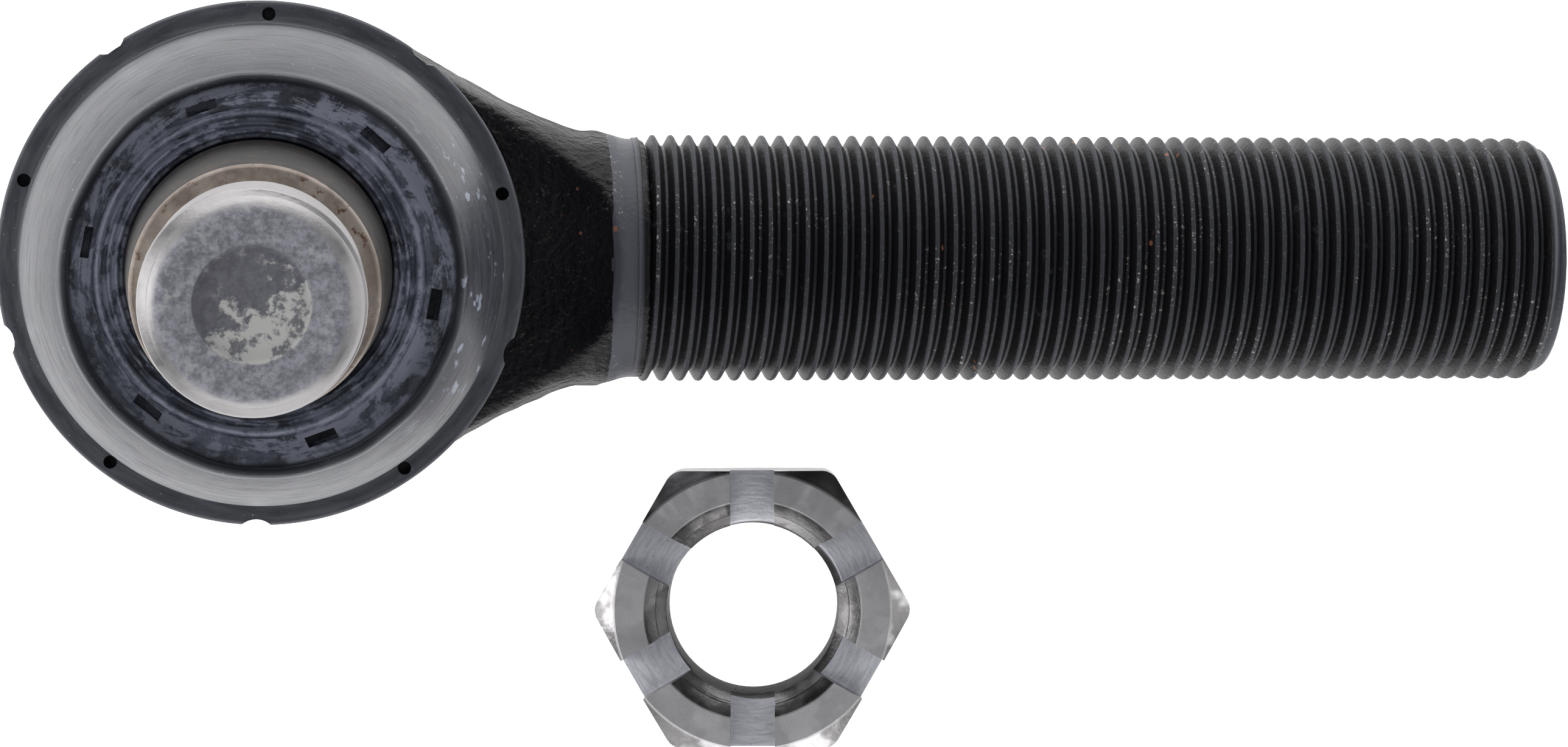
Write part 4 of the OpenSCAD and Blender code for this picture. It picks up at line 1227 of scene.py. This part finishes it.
def dust_boot(rubber):
    """The boot: flange with vents and locator holes, bulged wall, rim, slotted and ridged top face."""
    boot = working(turned(boot_outline(), 240, ring=True))
    cutters = []
    for i in range(5):
        hole = rod_shell(LOCATOR_HOLE_R, 8, (FLANGE_R - 1.5, 0, BASE_RING_TOP + 4),
                         LOCATOR_HOLE_ANGLE + 72 * i)
        notch = rod_shell(NOTCH_R, 12, (FLANGE_R + 1.7, 0, FLANGE_TOP - 3), NOTCH_ANGLE + 72 * i)
        cutters += [hole, notch]
    for i in range(6):
        cutters.append(box_shell(FACE_SLOT, (18.9, 0, 31), FACE_SLOT_ANGLE + 60 * i))
    for cutter in cutters:
        combine(boot, working(cutter), "DIFFERENCE")
    shell = as_shell(boot)
    shell.verts.ensure_lookup_table()
    drawn = [v.co.copy() for v in shell.verts]
    swing = Vector((0, 0, 1)).rotation_difference(STUD_AXIS)
    still = Matrix.Identity(3).to_quaternion()
    for v in shell.verts:
        angle = math.atan2(v.co.y, v.co.x)
        radius = math.hypot(v.co.x, v.co.y)
        loose = smooth_step(v.co.z, FLANGE_TOP, RIM_TOP - 2) * smooth_step(radius, 18, 21)
        sag = 0.28 * noise.noise(Vector((math.cos(angle) * 1.3, math.sin(angle) * 1.3, v.co.z / 30)))
        wave = 0.12 * noise.noise(Vector((math.cos(angle) * 4, math.sin(angle) * 4, v.co.z / 12 + 3)))
        v.co += Vector((math.cos(angle), math.sin(angle), 0.3)) * (sag + wave) * loose
        radius = math.hypot(v.co.x, v.co.y)
        held = smooth_step(v.co.z, FLANGE_TOP, NECK_SOLID) * (1 - smooth_step(radius, 16.5, 21))
        v.co = still.slerp(swing, held) @ v.co
    piece = finished(shell, "moulded_dust_boot", [rubber], sharp=44, drawn=drawn)
    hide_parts("dust_boot")
    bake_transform(piece)
    return piece


def castle_nut(steel):
    """The slotted nut: formed hexagon and crown, six milled slots, countersunk right-hand thread."""
    flat_r = NUT_AF / 2
    corner_r = flat_r / math.cos(math.radians(30))
    blank = bmesh.new()
    bmesh.ops.create_cone(blank, cap_ends=True, segments=6, radius1=corner_r, radius2=corner_r, depth=NUT_H)
    blank.transform(Matrix.Translation((0, 0, NUT_H / 2)))
    if abs(max(v.co.x for v in blank.verts) - corner_r) > 0.01:
        blank.transform(Matrix.Rotation(math.radians(30), 4, "Z"))
    uprights = [e for e in blank.edges if abs(e.verts[0].co.z - e.verts[1].co.z) > 1]
    bmesh.ops.bevel(blank, geom=uprights, offset=1.1, segments=4, profile=0.5, affect="EDGES", material=-1)
    nut = working(blank)
    crown = working(turned(
        [(0, 0), (flat_r - 0.7, 0)]
        + curve([(flat_r - 0.2, 0.25), (corner_r - 0.9, 1.6), (corner_r + 0.3, 3)], 4)
        + curve([(corner_r + 0.3, NUT_H - 2.9), (corner_r - 0.4, NUT_H - 1.9), (flat_r + 0.95, NUT_H - 0.95),
                 (flat_r + 0.25, NUT_H - 0.35), (flat_r - 0.2, NUT_H)], 5)
        + [(0, NUT_H)], 144))
    combine(nut, crown, "INTERSECT")
    sink = working(turned(
        [(0, NUT_H - 9), (NUT_MINOR_R - 0.4, NUT_H - 9), (NUT_MINOR_R - 0.4, NUT_H - 3.2),
         (STUD_THREAD_R + 0.25, NUT_H - 2.3), (STUD_THREAD_R + 0.35, NUT_H - 1.5), (12.35, NUT_H - 0.75),
         (12.75, NUT_H - 0.2), (13.0, NUT_H + 0.1), (13.0, NUT_H + 2), (0, NUT_H + 2)], 96))
    combine(nut, sink, "DIFFERENCE")
    relief = working(turned([(0, -2), (STUD_THREAD_R + 0.6, -2), (STUD_THREAD_R + 0.5, 0),
                             (NUT_MINOR_R - 0.4, 1.6), (NUT_MINOR_R - 0.4, 10), (0, 10)], 96))
    combine(nut, relief, "DIFFERENCE")
    for i in range(3):
        slot = box_shell((2 * corner_r + 4, SLOT_W, 10), (0, 0, NUT_H - SLOT_DEPTH + 5), 30 + 60 * i)
        combine(nut, working(slot), "DIFFERENCE")
    shell = as_shell(nut)
    bmesh.ops.dissolve_limit(shell, angle_limit=math.radians(0.5), verts=shell.verts, edges=shell.edges)
    crisp = [e for e in shell.edges if e.is_manifold and e.calc_face_angle(0) > math.radians(35)]
    bmesh.ops.bevel(shell, geom=crisp, offset=0.16, offset_type="WIDTH", segments=2, profile=0.5,
                    affect="EDGES", material=-1, clamp_overlap=True)
    bmesh.ops.triangulate(shell, faces=shell.faces)
    nut = working(shell)

    def no_limit(height, radius):
        return radius

    tap = thread(STUD_THREAD_R + 0.08, 0.53 * STUD_PITCH + 0.08, STUD_PITCH, -1.5, NUT_H + 1.5, 1, no_limit,
                 [(NUT_MINOR_R - 1, -1.6)], [(NUT_MINOR_R - 1, NUT_H + 1.6)], steps=72)
    combine(nut, working(tap), "DIFFERENCE")
    shell = as_shell(nut)
    level = Matrix((LEVEL_X, LEVEL_Y, UP)).transposed().to_4x4()
    centre = Vector(mount("nut_thread")["pos_m"])
    centre -= UP * (UP.dot(centre) - SURFACE)
    piece = finished(shell, "slotted_stud_nut", [steel], sharp=32, place=Matrix.Translation(centre) @ level)
    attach(piece, "nut")
    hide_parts("castle_nut")
    return piece


def dress(node, material):
    """Gives a carried-over part its finish."""
    data = frame["nodes"][node].data
    data.materials.clear()
    data.materials.append(material)


# ---------------------------------------------------------------------- build

socket_housing(painted_forging(), painted_thread())
ball_stud(turned_stud_steel())
dust_boot(moulded_rubber())
castle_nut(plain_nut_steel())

resin = bearing_resin()
dress("upper_bearing", resin)
dress("lower_bearing", resin)
spring_steel = oiled_spring_steel()
dress("preload_spring", spring_steel)
dress("grease_check_spring", spring_steel)
dress("end_cover", painted_cover_steel())
dress("grease_fitting", yellow_zinc())
dress("grease_check_ball", polished_ball_steel())
insert = phosphated_insert()
dress("boot_base_ring", insert)
dress("boot_neck_ring", insert)


# ------------------------------------------------------------ table and light

def on_table(right, back, height):
    """A place by its distance from the ball along the table, in metres."""
    return LEVEL_X * right + LEVEL_Y * back + UP * (SURFACE + height)


def table():
    """The level surface that the rod end lies on."""
    top = bmesh.new()
    bmesh.ops.create_grid(top, x_segments=8, y_segments=8, size=1.5)
    top.transform(Matrix((LEVEL_X, LEVEL_Y, UP)).transposed().to_4x4())
    top.transform(Matrix.Translation(UP * (SURFACE - 0.0002)))
    data = bpy.data.meshes.new("table")
    top.to_mesh(data)
    top.free()
    data.materials.append(pale_ground())
    obj = bpy.data.objects.new("table", data)
    bpy.context.scene.collection.objects.link(obj)


def aim(obj, place, target, turn=None):
    """Places a light or the camera, looking at a target."""
    obj.location = place
    back = (place - target).normalized()
    if turn is None:
        obj.rotation_mode = "QUATERNION"
        obj.rotation_quaternion = (-back).to_track_quat("-Z", "Y")
    else:
        side = turn.cross(back).normalized()
        facing = Matrix((side, back.cross(side), back)).transposed().to_4x4()
        obj.matrix_world = Matrix.Translation(place) @ facing


def soft_light(name, right, back, height, width, depth, power, target):
    """A large soft box."""
    data = bpy.data.lights.new(name, "AREA")
    data.shape = "RECTANGLE"
    data.size = width
    data.size_y = depth
    data.energy = power
    obj = bpy.data.objects.new(name, data)
    bpy.context.scene.collection.objects.link(obj)
    aim(obj, on_table(right, back, height), on_table(*target, 0.02))


# Camera: a 102 mm lens straight above the table
CAMERA_HEIGHT = 0.5406
CAMERA_RIGHT = 0.0597
CAMERA_BACK = -0.0134
CAMERA_TWIST = math.radians(0.15)
LENS = 102

table()
soft_light("left_box", -0.75, 0.05, 0.35, 0.5, 0.9, 4.6, (0.03, 0))
soft_light("right_box", 0.95, 0.0, 0.35, 0.5, 0.9, 1.8, (0.06, 0))
soft_light("back_box", 0.05, 0.8, 0.32, 1.2, 0.45, 5.6, (0.06, 0))
soft_light("front_box", 0.05, -0.8, 0.32, 1.2, 0.45, 4.0, (0.06, 0))

world = bpy.data.worlds.new("studio")
bpy.context.scene.world = world
world.use_nodes = True
world.node_tree.nodes["Background"].inputs["Color"].default_value = colour("e9ecf2")
world.node_tree.nodes["Background"].inputs["Strength"].default_value = 0.3

camera = bpy.data.objects.new("camera", bpy.data.cameras.new("camera"))
bpy.context.scene.collection.objects.link(camera)
camera.data.lens = LENS
camera.data.sensor_width = 36
camera.data.clip_start = 0.01
camera.data.clip_end = 10
aim(camera, on_table(CAMERA_RIGHT, CAMERA_BACK, CAMERA_HEIGHT), on_table(CAMERA_RIGHT, CAMERA_BACK, 0),
    LEVEL_Y + LEVEL_X * CAMERA_TWIST)
bpy.context.scene.camera = camera
bpy.context.scene.view_settings.view_transform = "Standard"
